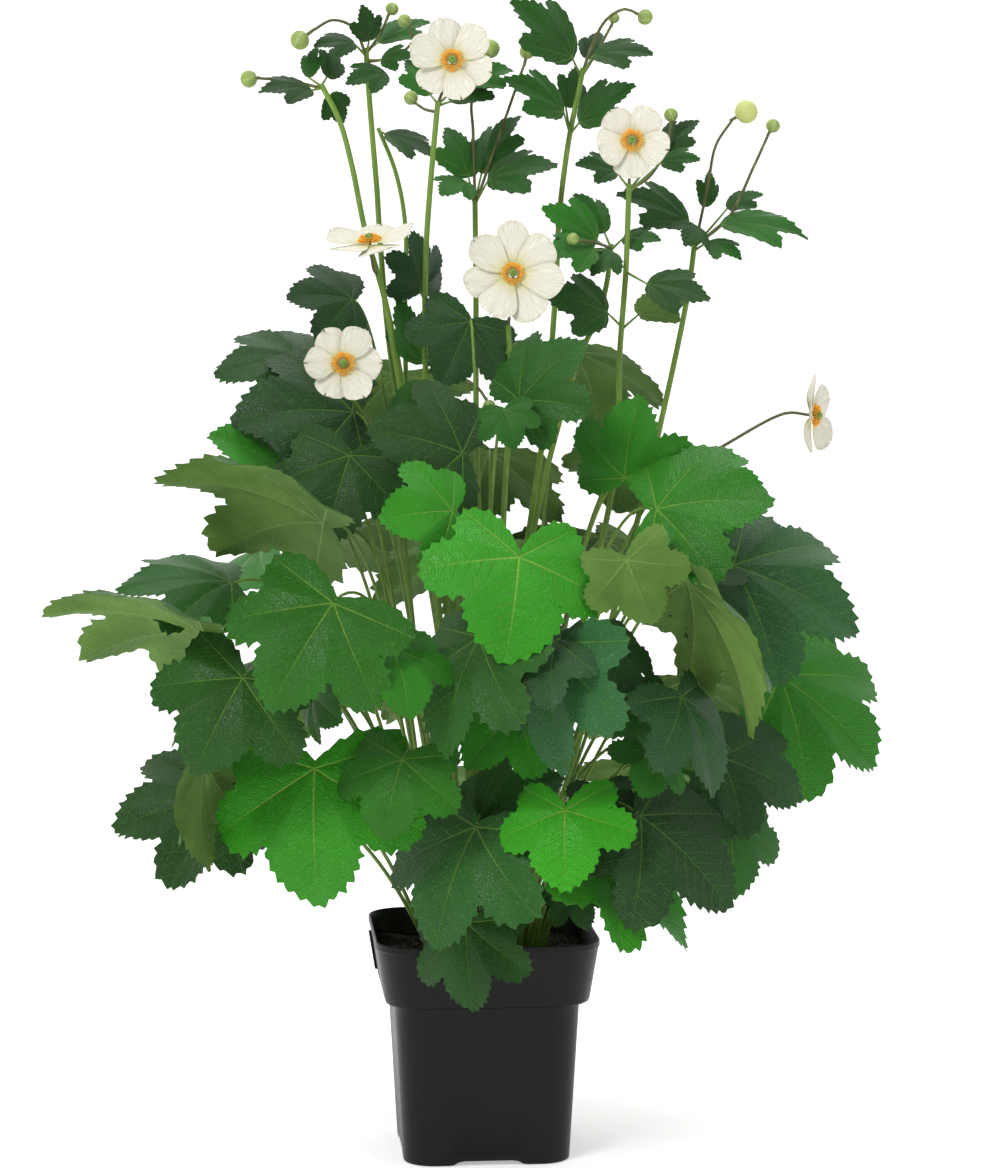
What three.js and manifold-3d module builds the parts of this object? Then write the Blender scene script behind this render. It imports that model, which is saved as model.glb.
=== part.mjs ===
// A potted japanese anemone: square nursery pot, soil, tufts of lobed leaves,
// tall flower stems with whorls of small leaves and round buds, and six white blooms.
// Millimetres, +Z up, origin under the middle of the pot's foot. The front faces -Y.
import * as THREE from "three";
import { mergeVertices } from "three/addons/utils/BufferGeometryUtils.js";
import Module from "manifold-3d";

const wasm = await Module();
wasm.setup();

// Pot sizes
const POT_HEIGHT = 184;
const RIM_HALF = 91;
const COLLAR_HALF = 83.5;
const COLLAR_BOTTOM = 132;
const BODY_HALF_TOP = 75.5;
const FOOT_HALF = 68;
const WALL = 1.6;
const SKIRT_WALL = 1.8;
const COLLAR_STEP = 2.5;
const COLLAR_EASE = 3.5;
const RIM_BAND = 2.5;
const CORNER_SHARE = 0.36;
const CORNER_STEPS = 3;
const FLOOR_UNDERSIDE = 6;
const FLOOR_TOP = 8;
const ARCH_HEIGHT = 3.5;
const ARCH_HALF = 26;
const ARCH_DEPTH = 12;
const DRAIN_RADIUS = 6;
const DRAIN_SPACING = 34;
const DRAIN_SIDES = 6;
const POT_TURN = THREE.MathUtils.degToRad(5);

// Soil and the crown that everything grows from
const SOIL_TOP = 165;
const SOIL_GAP = 0.35;
const STUB_DEPTH = 10;
const STUB_TOP = 4;
const HOLE_SIDES = 4;
const HOLE_EXTRA = 0.5;
const SOIL_EDGE_DROP = 3;
const SOIL_SHOULDER = 16;
const FOOT_ABOVE_SOIL = 2.5;
const CROWN_RADIUS = 52;
const CROWN_FULL_AT = 260;
const CROWN_ROUNDS = 200;
const SHOOT_SPACING = 10.5;

// Leaves, stalks and stems
const BLADE_THICKNESS = 1.0;
const STALK_SIDES = 3;
const STALK_RADIUS = 1.8;
const NECK = 7;
const LEAST_NECK_SHARE = 0.4;
const SIDE_STALK_START = 0.6;
const BRACT_STALK_RADIUS = 1.3;
const STEM_RADIUS = 2.8;
const BRANCH_RADIUS = 1.9;
const PEDUNCLE_RADIUS = 1.2;
const SMALL_BUD = 6;
const NECK_RADIUS = 1.5;
const NECK_OVERLAP = 2;
const BUD_CORE = 0.55;

// Blooms
const HUB_INNER = 2.3;
const HUB_OUTER = 5;
const HUB_HALF_HEIGHT = 1.1;
const PETAL_THICKNESS = 0.8;
const BUTTON_RADIUS = 3.4;
const BUTTON_RISE = 4.8;
const STAMEN_INNER = 4.1;
const STAMEN_OUTER = 10;
const STAMEN_SIDES = 12;
const STAMEN_NOTCH = 0.84;
const STAMEN_TOP = 8;
const BLOOM_STALK_BACK = 22;
const BLOOM_STALK_NEAR = 4;
// Half of a petal's outline from its base to its tip: how far out, and how wide
const PETAL_ROWS = [
  [0.09, 0.06],
  [0.42, 0.33],
  [0.776, 0.45],
  [0.98, 0.2],
];
const PETAL_MIDDLE = 0.8;
const CUP = 0.16;
const INNER_CUP = 0.1;
const LAYER_RISE = 1.1;
const TWIST = 0.08;
const EDGE_CURL = 0.12;

// How much each middle point of a stalk follows its bend, and how high the bow of
// a crown leaf's stalk stands there: shares of its rise and of its flat run
const BEND_SHARES = [0.2, 1];
const BOW = [
  [0.5, 0.1],
  [0.95, 0.22],
];

// Where things pass each other: the grid seen from the front, the gaps kept, and
// how far and how fast a leaf may move
const CELL = 4;
const BLADE_GAP = 4.5;
const STALK_GAP = 5;
const EDGE_STEP = 0.7 * CELL;
const CURVE_STEP = 0.6 * CELL;
const STEM_ROW = 1;
const ROW_EDGE = 45;
const STALK_EASE = 3;
const MOST_SHIFT = 45;
const MOST_BEND = 90;
const SETTLE_ROUNDS = 200;
const SETTLE_PACE = 0.7;
const LEAST_REACH = 0.3;
const WALL_CLEARANCE = 4;
const ROW_CELLS = 1000;
const MOST_BODIES = 10000;

// The view that the places below were read from: a point of the picture and a
// depth (Y, negative is nearer) give a point of the plant.
const EYE = new THREE.Vector3(14.9, -2800, 725);
const EYE_DOWN = THREE.MathUtils.degToRad(5.25);
const FOCAL = 3433;
const PICTURE_CENTRE_X = 500;
const PICTURE_CENTRE_Y = 584;

const UP = new THREE.Vector3(0, 0, 1);

function seen(px, py, depth) {
  const across = (px - PICTURE_CENTRE_X) / FOCAL;
  const up = (PICTURE_CENTRE_Y - py) / FOCAL;
  const away = Math.cos(EYE_DOWN) + up * Math.sin(EYE_DOWN);
  const rise = up * Math.cos(EYE_DOWN) - Math.sin(EYE_DOWN);
  const reach = (depth - EYE.y) / away;
  return new THREE.Vector3(EYE.x + across * reach, depth, EYE.z + rise * reach);
}

// The mound of leaves: its radius at each height
const MOUND = [
  [150, 95],
  [210, 135],
  [260, 230],
  [330, 285],
  [420, 300],
  [510, 270],
  [590, 225],
  [660, 185],
  [740, 130],
  [830, 70],
];
const MOUND_FLATNESS = 0.76;
const LAYER = 12;

function moundRadius(z) {
  const last = MOUND.length - 1;
  if (z <= MOUND[0][0]) return MOUND[0][1];
  if (z >= MOUND[last][0]) return MOUND[last][1];
  const k = MOUND.findIndex(([height]) => height > z);
  const [z0, r0] = MOUND[k - 1];
  const [z1, r1] = MOUND[k];
  return r0 + ((r1 - r0) * (z - z0)) / (z1 - z0);
}

function moundDepth(px, py, layer) {
  const flat = seen(px, py, 0);
  const radius = moundRadius(flat.z);
  const inside = Math.max(0, radius * radius - flat.x * flat.x);
  return LAYER * layer - MOUND_FLATNESS * Math.sqrt(inside);
}

// Leaves from the crown that show in front. Each row: tuft, joint of stalk and
// blade (x, y), layers inside the mound, main tip (x, y), how far the tip leans
// to the front in mm, roll of the blade about its midrib in degrees (0 shows the
// upper side, 180 the underside), and how widely its lobes fan out.
const FRONT_LEAVES = [
  [1, 205, 636, -2, 44, 614, 15, 108, 0.8],
  [1, 226, 588, -1, 112, 600, 15, 60, 0.9],
  [1, 291, 481, 3, 207, 437, 15, 50, 1.1],
  [1, 324, 522, 1, 160, 479, 0, 112, 1.0],
  [1, 247, 671, 0, 200, 765, 15, 15, 1.3],
  [1, 313, 694, 3, 343, 721, 30, 30, 1.2],
  [2, 206, 762, -2, 212, 871, 5, 120, 0.95],
  [2, 226, 800, 3, 114, 828, 0, 35, 1.0],
  [3, 314, 771, 0, 318, 908, 10, 15, 1.25],
  [3, 403, 758, 2, 385, 838, 15, 20, 1.3],
  [4, 335, 600, -1, 272, 706, 15, 15, 1.1],
  [4, 394, 647, 1, 411, 716, 25, -20, 1.3],
  [5, 353, 412, 6, 232, 420, 10, 35, 1.1],
  [5, 350, 455, 3, 325, 545, 20, 10, 1.2],
  [6, 307, 360, 5, 215, 378, 10, 50, 1.0],
  [6, 352, 300, 5, 287, 297, 10, 40, 1.1],
  [7, 452, 511, 1, 380, 520, 20, 20, 1.35],
  [7, 462, 453, 4, 368, 430, 10, 25, 1.2],
  [7, 505, 410, 1, 515, 449, 10, 0, 1.2],
  [7, 420, 290, 9, 412, 232, 0, 45, 0.9],
  [8, 519, 557, -1, 505, 662, 25, -8, 1.75],
  [8, 480, 636, 2, 447, 757, 15, 48, 1.0],
  [8, 556, 640, 1, 488, 693, 10, 48, 1.1],
  [8, 557, 645, 0, 566, 778, 10, 52, 0.95],
  [8, 600, 640, 2, 630, 714, 15, -42, 1.1],
  [8, 627, 560, -1, 654, 623, 15, 170, 1.3],
  [8, 520, 716, 3, 466, 776, 10, 25, 1.2],
  [9, 476, 828, 1, 438, 950, 15, 38, 1.15],
  [9, 467, 917, 0, 475, 1004, 8, 25, 1.0],
  [9, 478, 826, 4, 562, 775, 0, -35, 1.0],
  [9, 565, 810, -1, 566, 890, 20, 10, 1.6],
  [10, 600, 790, 4, 606, 838, 20, 0, 1.3],
  [10, 587, 845, 1, 685, 948, 10, -62, 0.85],
  [10, 570, 885, 3, 588, 930, 10, -10, 0.9],
  [10, 640, 815, 0, 727, 908, 5, -38, 1.1],
  [10, 655, 752, 2, 640, 798, 25, -20, 1.4],
  [11, 680, 695, 1, 711, 794, 10, -58, 1.1],
  [11, 636, 690, 4, 652, 752, 10, -35, 1.1],
  [11, 686, 580, -1, 750, 735, 0, -114, 0.8],
  [11, 695, 583, 4, 746, 618, 10, -30, 1.1],
  [11, 656, 508, 1, 772, 503, 10, -38, 1.15],
  [11, 625, 479, 4, 640, 397, 0, -20, 1.2],
  [12, 727, 818, 3, 732, 899, 5, -30, 1.2],
  [12, 721, 757, 5, 800, 800, -10, -35, 1.1],
  [13, 734, 567, 3, 857, 636, -10, -42, 1.0],
  [13, 690, 480, 5, 768, 497, 0, -45, 1.0],
  [14, 780, 677, 8, 876, 768, -20, -38, 0.85],
  [15, 470, 322, 7, 440, 386, 15, 0, 1.2],
  [15, 520, 400, 3, 586, 343, 0, -40, 1.1],
];

// Leaves on the far side, in rows round the mound: height, number of leaves,
// first and last bearing in degrees (90 is straight back) and blade length
const REAR_ROWS = [
  [265, 4, 30, 150, 95],
  [350, 5, 20, 164, 118],
  [450, 5, 20, 160, 120],
  [545, 3, 35, 145, 105],
  [620, 2, 55, 120, 90],
];
const FIRST_REAR_TUFT = 16;
const REAR_TUFTS = 9;
const REAR_FLATNESS = 0.93;
const REAR_JOINT_SHARE = 0.66;
const REAR_SEED = 7;
const REAR_BEARING_SPREAD = 12;
const REAR_HEIGHT_SPREAD = 30;
const REAR_ROLL_SPREAD = 40;
const REAR_TURN_SPREAD = 0.9;
const REAR_JOINT_LIFT = 0.3;
const REAR_FALL = [0.75, -0.7];
const REAR_OUTWARD_RISE = 0.7;

// Flower stems. Each path runs from the whorl at the top down into the leaves,
// in picture points with a depth, and goes on to its place in the crown.
// branches: side stems, that end on the path. stalks: thin bare stalks.
// buds: x, y, depth, radius. bracts: the stem's own leaves: where the stalk
// leaves the stem, joint, tip (x, y and depth each), roll, fan. blooms: where the
// stalk leaves the stem, the centre, the way it faces, the radius over the petals,
// the number of petals, and how far the first one is turned, in degrees.
const STEMS = [
  {
    name: "left",
    crown: [-27, 14],
    path: [
      [321, 84, -10],
      [340, 122, -8],
      [352, 166, -5],
      [365, 230, 0],
      [385, 300, 5],
      [405, 400, 5],
      [440, 640, 0],
    ],
    branches: [],
    stalks: [
      [
        [321, 88, -10],
        [300, 83, -14],
        [281, 80, -18],
        [256, 78, -22],
      ],
    ],
    buds: [[249, 79, -24, 7]],
    bracts: [
      [321, 88, -10, 311, 90, -20, 259, 93, -42, 55, 0.9],
      [321, 86, -10, 309, 77, 0, 317, 47, 10, -30, 0.8],
      [323, 90, -9, 330, 96, 2, 343, 123, 15, -20, 1.3],
      [321, 86, -10, 327, 76, 8, 335, 49, 28, 30, 1],
    ],
    blooms: [],
  },
  {
    name: "upright",
    crown: [-30, 26],
    path: [
      [366, 48, 20],
      [368, 80, 20],
      [372, 132, 20],
      [377, 191, 20],
      [380, 240, 20],
      [390, 350, 20],
      [410, 470, 15],
      [446, 700, 8],
    ],
    branches: [
      [
        [378, 128, 40],
        [395, 170, 40],
        [405, 222, 38],
        [405, 340, 28],
        [410, 470, 15],
      ],
    ],
    stalks: [
      [
        [366, 56, 20],
        [354, 28, 8],
        [333, 20, 0],
        [312, 31, -10],
      ],
      [
        [366, 54, 20],
        [380, 34, 24],
        [389, 14, 26],
      ],
      [
        [367, 62, 20],
        [396, 56, 6],
        [413, 40, 2],
        [407, 25, 0],
      ],
    ],
    buds: [
      [300, 40, -14, 7.8],
      [392, 9, 27, 5.4],
      [404.5, 21, 0, 5.6],
    ],
    bracts: [
      [366, 54, 20, 369, 40, 10, 362, 5, 0, 20, 1.1],
      [366, 56, 20, 354, 44, 6, 314, 46, -6, 55, 1.1],
      [366, 52, 20, 379, 42, 30, 430, 23, 50, -58, 0.8],
      [367, 60, 20, 382, 60, 8, 413, 56, -4, -40, 1],
      [368, 74, 20, 386, 74, 2, 346, 84, -22, 40, 0.9],
      [379, 131, 40, 386, 134, 36, 437, 160, 28, -55, 0.8],
    ],
    blooms: [],
  },
  {
    name: "top_bloom",
    crown: [-18, 4],
    path: [
      [438, 101, -30],
      [435, 132, -30],
      [430, 190, -30],
      [426, 250, -30],
      [425, 320, -28],
      [427, 400, -22],
      [444, 560, -14],
    ],
    branches: [],
    stalks: [
      [
        [437, 112, -30],
        [424, 109, -24],
        [413, 101, -22],
      ],
      [
        [427, 372, -24],
        [455, 379, -50],
        [478, 388, -76],
        [487, 401, -84],
      ],
    ],
    buds: [
      [411, 98, -21, 5.8],
      [489, 406, -86, 5.2],
    ],
    bracts: [
      [438, 106, -30, 452, 101, -15, 496, 82, 10, -50, 0.9],
      [438, 104, -30, 462, 84, 2, 513, 70, 22, -50, 0.9],
      [438, 104, -30, 430, 94, -10, 406, 60, 6, 30, 1],
      [427, 376, -24, 425, 362, -14, 399, 299, -8, -20, 0.85],
      [427, 378, -24, 419, 382, -44, 414, 438, -62, 25, 1.2],
    ],
    blooms: [
      {
        name: "bloom_top",
        from: [437, 106, -30],
        centre: [452, 61, -50],
        facing: [0.05, -0.97, 0.2],
        radius: 35,
        petals: 6,
        turn: 12,
      },
    ],
  },
  {
    name: "inner",
    crown: [-9, 20],
    path: [
      [475, 200, 10],
      [476, 300, 10],
      [476, 390, 8],
      [478, 560, 5],
    ],
    branches: [],
    stalks: [
      [
        [475, 206, 10],
        [489, 165, 16],
        [502, 128, 22],
        [525, 62, 26],
      ],
      [
        [475, 202, 10],
        [473, 130, 22],
        [472, 100, 26],
        [488, 62, 20],
      ],
    ],
    buds: [
      [527, 52, 27, 6.2],
      [490, 49, 18, 8],
    ],
    bracts: [
      [475, 204, 10, 489, 180, 0, 557, 166, -12, -50, 1],
      [475, 206, 10, 466, 182, -6, 440, 196, -34, 40, 1.2],
      [475, 202, 10, 468, 176, 14, 446, 128, 30, 30, 1.1],
      [475, 202, 10, 482, 172, 20, 520, 115, 36, -45, 0.8],
    ],
    blooms: [],
  },
  {
    name: "tall",
    crown: [18, 18],
    path: [
      [583, 68, 25],
      [578, 95, 25],
      [570, 133, 25],
      [560, 208, 22],
      [555, 300, 18],
      [545, 420, 12],
      [518, 620, 5],
    ],
    branches: [],
    stalks: [
      [
        [582, 74, 25],
        [592, 46, 24],
        [606, 20, 20],
        [625, 9, 16],
        [638, 14, 14],
      ],
      [
        [582, 76, 25],
        [598, 50, 34],
        [612, 24, 36],
      ],
    ],
    buds: [
      [645, 17, 13, 6.4],
      [614, 18, 37, 4.6],
    ],
    bracts: [
      [582, 78, 25, 572, 58, 14, 511, 1, 0, 35, 0.85],
      [582, 76, 25, 594, 55, 14, 653, 55, 6, -55, 0.9],
      [582, 78, 25, 588, 58, 40, 601, 33, 58, -20, 1],
      [570, 133, 25, 563, 112, 12, 504, 79, -8, 45, 0.85],
      [570, 135, 25, 566, 106, 30, 575, 68, 44, 30, 0.9],
      [570, 134, 25, 580, 122, 10, 635, 85, -2, -40, 0.9],
    ],
    blooms: [],
  },
  {
    name: "middle_bloom",
    crown: [0, 2],
    path: [
      [508, 325, -50],
      [511, 380, -46],
      [506, 470, -26],
      [498, 640, -16],
    ],
    branches: [],
    stalks: [],
    buds: [],
    bracts: [],
    blooms: [
      {
        name: "bloom_middle",
        from: [508, 330, -50],
        centre: [513, 274, -78],
        facing: [0, -0.98, 0.2],
        radius: 43,
        petals: 7,
        turn: 0,
      },
    ],
  },
  {
    name: "side_bloom",
    crown: [-36, 2],
    path: [
      [377, 270, -46],
      [385, 300, -42],
      [393, 345, -36],
      [410, 440, -26],
      [440, 620, -14],
    ],
    branches: [
      [
        [350, 396, -94],
        [372, 425, -70],
        [410, 440, -26],
      ],
    ],
    stalks: [],
    buds: [],
    bracts: [],
    blooms: [
      {
        name: "bloom_side",
        from: [377, 274, -46],
        centre: [370, 243, -58],
        facing: [-0.12, -0.3, 0.95],
        radius: 38,
        petals: 5,
        turn: 20,
      },
      {
        name: "bloom_low",
        from: [352, 398, -93],
        centre: [343, 364, -122],
        facing: [0.1, -0.98, 0.15],
        radius: 32,
        petals: 6,
        turn: 30,
      },
    ],
  },
  {
    name: "right_bloom",
    crown: [30, 4],
    path: [
      [629, 184, -30],
      [628, 216, -30],
      [626, 269, -26],
      [620, 350, -20],
      [615, 470, -12],
      [575, 660, -4],
    ],
    branches: [],
    stalks: [
      [
        [629, 190, -30],
        [650, 176, -10],
        [668, 145, 0],
        [671, 124, 2],
      ],
    ],
    buds: [[671, 115, 3, 5.8]],
    bracts: [
      [629, 188, -30, 616, 172, -22, 576, 164, -36, 45, 1],
      [629, 190, -30, 660, 152, 10, 699, 121, 14, -40, 0.9],
      [629, 192, -30, 662, 162, -10, 700, 160, -20, -45, 0.9],
      [621, 330, -22, 640, 314, -30, 690, 300, -48, -130, 1.2],
      [621, 326, -22, 606, 312, -34, 545, 296, -52, 35, 1.3],
      [626, 272, -26, 648, 284, -40, 709, 301, -52, -40, 1],
    ],
    blooms: [
      {
        name: "bloom_right",
        from: [629, 190, -30],
        centre: [632, 141, -58],
        facing: [0.02, -0.98, 0.18],
        radius: 31,
        petals: 5,
        turn: 36,
      },
    ],
  },
  {
    name: "right",
    crown: [39, 16],
    path: [
      [695, 240, 30],
      [690, 280, 30],
      [681, 330, 28],
      [645, 490, 18],
      [590, 700, 6],
    ],
    branches: [
      [
        [715, 450, -18],
        [690, 470, -6],
        [645, 490, 18],
      ],
    ],
    stalks: [
      [
        [695, 246, 30],
        [708, 185, 26],
        [716, 145, 22],
        [733, 119, 18],
      ],
      [
        [695, 246, 30],
        [728, 218, 26],
        [754, 166, 24],
        [769, 133, 22],
      ],
    ],
    buds: [
      [746, 112, 14, 9.6],
      [773, 126, 21, 5.8],
    ],
    bracts: [
      [695, 248, 30, 688, 222, 16, 617, 194, 2, 45, 0.8],
      [695, 246, 30, 722, 224, 18, 808, 238, 20, -60, 0.75],
      [695, 250, 30, 709, 242, 14, 741, 260, -4, -50, 1],
      [695, 244, 30, 704, 206, 36, 709, 170, 40, 40, 0.9],
      [695, 246, 30, 728, 208, 40, 763, 194, 48, -50, 0.9],
      [695, 246, 30, 696, 226, 12, 684, 246, -14, 0, 1.2],
    ],
    blooms: [
      {
        name: "bloom_far_right",
        from: [714, 451, -18],
        centre: [812, 415, -34],
        facing: [0.9, -0.38, -0.05],
        radius: 33,
        petals: 5,
        turn: 10,
      },
    ],
  },
  {
    name: "bushy",
    crown: [9, 8],
    path: [
      [611, 244, -6],
      [608, 276, -8],
      [600, 310, -10],
      [580, 356, -10],
      [560, 420, -8],
      [540, 500, -6],
      [512, 660, -2],
    ],
    branches: [],
    stalks: [
      [
        [611, 248, -6],
        [596, 243, -34],
        [582, 241, -50],
      ],
    ],
    buds: [[573, 239, -56, 5]],
    bracts: [
      [611, 250, -6, 596, 240, -20, 541, 208, -34, 35, 1],
      [611, 252, -6, 594, 250, -36, 543, 256, -58, 45, 1.1],
      [611, 248, -6, 604, 232, 4, 574, 194, 18, 40, 0.9],
      [611, 250, -6, 624, 238, -14, 661, 241, -24, -50, 1.1],
      [611, 252, -6, 612, 252, -30, 592, 276, -54, 20, 1.1],
    ],
    blooms: [],
  },
];

// Small helpers

function seeded(seed) {
  let state = seed;
  return () => {
    state = (state * 1664525 + 1013904223) % 4294967296;
    return state / 4294967296;
  };
}

function section(radius, sides) {
  const corners = [];
  for (let i = 0; i < sides; i += 1) {
    const turn = (2 * Math.PI * i) / sides;
    corners.push(new THREE.Vector2(radius * Math.cos(turn), radius * Math.sin(turn)));
  }
  return new THREE.Shape(corners);
}

function rod(curve, radius, sides, steps) {
  return new THREE.ExtrudeGeometry(section(radius, sides), {
    steps,
    bevelEnabled: false,
    extrudePath: curve,
  });
}

function solid(geometry) {
  const bare = new THREE.BufferGeometry();
  bare.setAttribute("position", geometry.getAttribute("position"));
  bare.setIndex(geometry.getIndex());
  const merged = mergeVertices(bare, 1e-3);
  const corners = Uint32Array.from(merged.index.array);
  const made = new wasm.Manifold(
    new wasm.Mesh({
      numProp: 3,
      vertProperties: Float32Array.from(merged.attributes.position.array),
      triVerts: corners,
    }),
  );
  if (made.volume() > 0) return made;
  return new wasm.Manifold(
    new wasm.Mesh({
      numProp: 3,
      vertProperties: Float32Array.from(merged.attributes.position.array),
      triVerts: corners.reverse(),
    }),
  );
}

function fused(solids) {
  const whole = solids.reduce((sum, next) => sum.add(next));
  const bodies = whole.decompose().sort((a, b) => b.volume() - a.volume());
  return bodies[0];
}

function closedSurface(points, faces) {
  const geometry = new THREE.BufferGeometry();
  const flat = points.flatMap((p) => [p.x, p.y, p.z]);
  geometry.setAttribute("position", new THREE.Float32BufferAttribute(flat, 3));
  geometry.setIndex(faces.flat());
  return geometry;
}

// A three-sided stalk through the given points that ends in a point inside its
// blade. It starts at full width when it is the one that stands in the soil, and
// narrower when it starts inside another stalk.
function pointedStalk(centres, radius, startShare) {
  const last = centres.length - 1;
  let normal = new THREE.Vector3(1, 0, 0);
  const points = [];
  for (let i = 0; i < last; i += 1) {
    const before = centres[Math.max(0, i - 1)];
    const tangent = centres[i + 1].clone().sub(before).normalize();
    normal = normal.addScaledVector(tangent, -normal.dot(tangent)).normalize();
    const binormal = tangent.clone().cross(normal);
    const size = i === 0 ? radius * startShare : radius;
    for (let k = 0; k < STALK_SIDES; k += 1) {
      const turn = (2 * Math.PI * k) / STALK_SIDES;
      points.push(
        centres[i]
          .clone()
          .addScaledVector(normal, size * Math.cos(turn))
          .addScaledVector(binormal, size * Math.sin(turn)),
      );
    }
  }
  const tip = points.length;
  points.push(centres[last]);
  const faces = [[0, 2, 1]];
  for (let k = 0; k < STALK_SIDES; k += 1) {
    const next = (k + 1) % STALK_SIDES;
    for (let ring = 0; ring + 1 < last; ring += 1) {
      const low = ring * STALK_SIDES;
      const high = low + STALK_SIDES;
      faces.push([low + k, low + next, high + next]);
      faces.push([low + k, high + next, high + k]);
    }
    faces.push([tip - STALK_SIDES + k, tip - STALK_SIDES + next, tip]);
  }
  return closedSurface(points, faces);
}

// The pot: rounded squares stacked from the foot to the rim and back down inside

function roundedSquare(half, corner) {
  const outline = new THREE.Shape();
  const flat = half - corner;
  outline.absarc(flat, flat, corner, 0, Math.PI / 2, false);
  outline.absarc(-flat, flat, corner, Math.PI / 2, Math.PI, false);
  outline.absarc(-flat, -flat, corner, Math.PI, 1.5 * Math.PI, false);
  outline.absarc(flat, -flat, corner, 1.5 * Math.PI, 2 * Math.PI, false);
  const points = [];
  outline.curves
    .filter((curve) => curve.isEllipseCurve)
    .forEach((arc) => points.push(...arc.getPoints(CORNER_STEPS)));
  return points;
}

function squareLoft(levels) {
  const rings = levels.map(([half, corner, z]) =>
    roundedSquare(half, corner).map((p) => new THREE.Vector3(p.x, p.y, z)),
  );
  const count = rings[0].length;
  const points = rings.flat();
  const faces = [];
  for (let level = 0; level + 1 < rings.length; level += 1) {
    for (let i = 0; i < count; i += 1) {
      const next = (i + 1) % count;
      const low = level * count;
      const high = low + count;
      faces.push([low + i, low + next, high + next]);
      faces.push([low + i, high + next, high + i]);
    }
  }
  const first = points.length;
  points.push(new THREE.Vector3(0, 0, levels[0][2]));
  points.push(new THREE.Vector3(0, 0, levels[levels.length - 1][2]));
  const top = (rings.length - 1) * count;
  for (let i = 0; i < count; i += 1) {
    const next = (i + 1) % count;
    faces.push([first, next, i]);
    faces.push([first + 1, top + i, top + next]);
  }
  return closedSurface(points, faces);
}

function outerLevel(half, z) {
  return [half, CORNER_SHARE * half, z];
}

function innerLevel(half, inset, z) {
  return [half - inset, CORNER_SHARE * half - inset, z];
}

function potSolid() {
  const shell = squareLoft([
    innerLevel(FOOT_HALF + 0.3, SKIRT_WALL, FLOOR_UNDERSIDE),
    innerLevel(FOOT_HALF, SKIRT_WALL, 0),
    outerLevel(FOOT_HALF, 0),
    outerLevel(BODY_HALF_TOP, COLLAR_BOTTOM - 1),
    outerLevel(COLLAR_HALF - COLLAR_STEP, COLLAR_BOTTOM),
    outerLevel(COLLAR_HALF, COLLAR_BOTTOM + COLLAR_EASE),
    outerLevel(RIM_HALF, POT_HEIGHT - RIM_BAND),
    outerLevel(RIM_HALF, POT_HEIGHT),
    innerLevel(RIM_HALF, WALL, POT_HEIGHT),
    innerLevel(COLLAR_HALF, WALL, COLLAR_BOTTOM + COLLAR_EASE + 1),
    innerLevel(COLLAR_HALF - COLLAR_STEP, WALL, COLLAR_BOTTOM + 1.7),
    innerLevel(BODY_HALF_TOP, WALL, COLLAR_BOTTOM + 1),
    innerLevel(FOOT_HALF + 0.4, WALL, FLOOR_TOP),
  ]);
  let pot = solid(shell);
  for (let side = 0; side < 4; side += 1) {
    const arch = new THREE.Shape();
    arch.moveTo(-ARCH_HALF - ARCH_HEIGHT, -1);
    arch.lineTo(ARCH_HALF + ARCH_HEIGHT, -1);
    arch.lineTo(ARCH_HALF - ARCH_HEIGHT, ARCH_HEIGHT);
    arch.lineTo(-ARCH_HALF + ARCH_HEIGHT, ARCH_HEIGHT);
    const cutter = new THREE.ExtrudeGeometry(arch, { depth: ARCH_DEPTH, bevelEnabled: false });
    cutter.rotateX(Math.PI / 2);
    cutter.translate(0, -FOOT_HALF + ARCH_DEPTH / 2, 0);
    cutter.rotateZ((side * Math.PI) / 2);
    pot = pot.subtract(solid(cutter));
  }
  for (let hole = 0; hole < 5; hole += 1) {
    const spot = new THREE.Vector3(hole < 4 ? DRAIN_SPACING : 0, 0, 0);
    spot.applyAxisAngle(UP, (hole * Math.PI) / 2 + Math.PI / 4);
    const drill = new THREE.CylinderGeometry(DRAIN_RADIUS, DRAIN_RADIUS, 6, DRAIN_SIDES);
    drill.rotateX(Math.PI / 2);
    drill.translate(spot.x, spot.y, (FLOOR_UNDERSIDE + FLOOR_TOP) / 2);
    pot = pot.subtract(solid(drill));
  }
  return pot;
}

function soilSolid(shoots) {
  const gap = WALL + SOIL_GAP;
  let soil = solid(
    squareLoft([
      innerLevel(FOOT_HALF + 0.4, gap, FLOOR_TOP + SOIL_GAP),
      innerLevel(BODY_HALF_TOP, gap, COLLAR_BOTTOM + 1.2 + SOIL_GAP),
      innerLevel(COLLAR_HALF - 2.6, gap, COLLAR_BOTTOM + 2 + SOIL_GAP),
      innerLevel(COLLAR_HALF, gap + 0.1, COLLAR_BOTTOM + 5),
      innerLevel(RIM_HALF - 3, gap + 0.5, SOIL_TOP - SOIL_EDGE_DROP),
      innerLevel(RIM_HALF - SOIL_SHOULDER, gap, SOIL_TOP),
    ]),
  );
  const turned = new THREE.Matrix4().makeRotationZ(-POT_TURN);
  shoots.forEach((shoot) => {
    const hole = stub(shoot, shoot.radius / Math.cos(Math.PI / STALK_SIDES) + HOLE_EXTRA);
    hole.applyMatrix4(turned);
    soil = soil.subtract(solid(hole));
  });
  return soil;
}

// The straight foot of a shoot, as the cutter of its hole in the soil
function stub(shoot, radius) {
  const foot = new THREE.CylinderGeometry(radius, radius, STUB_DEPTH + STUB_TOP, HOLE_SIDES);
  foot.rotateX(Math.PI / 2);
  foot.translate(shoot.x, shoot.y, SOIL_TOP + (STUB_TOP - STUB_DEPTH) / 2 - SOIL_GAP);
  return foot;
}

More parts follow.
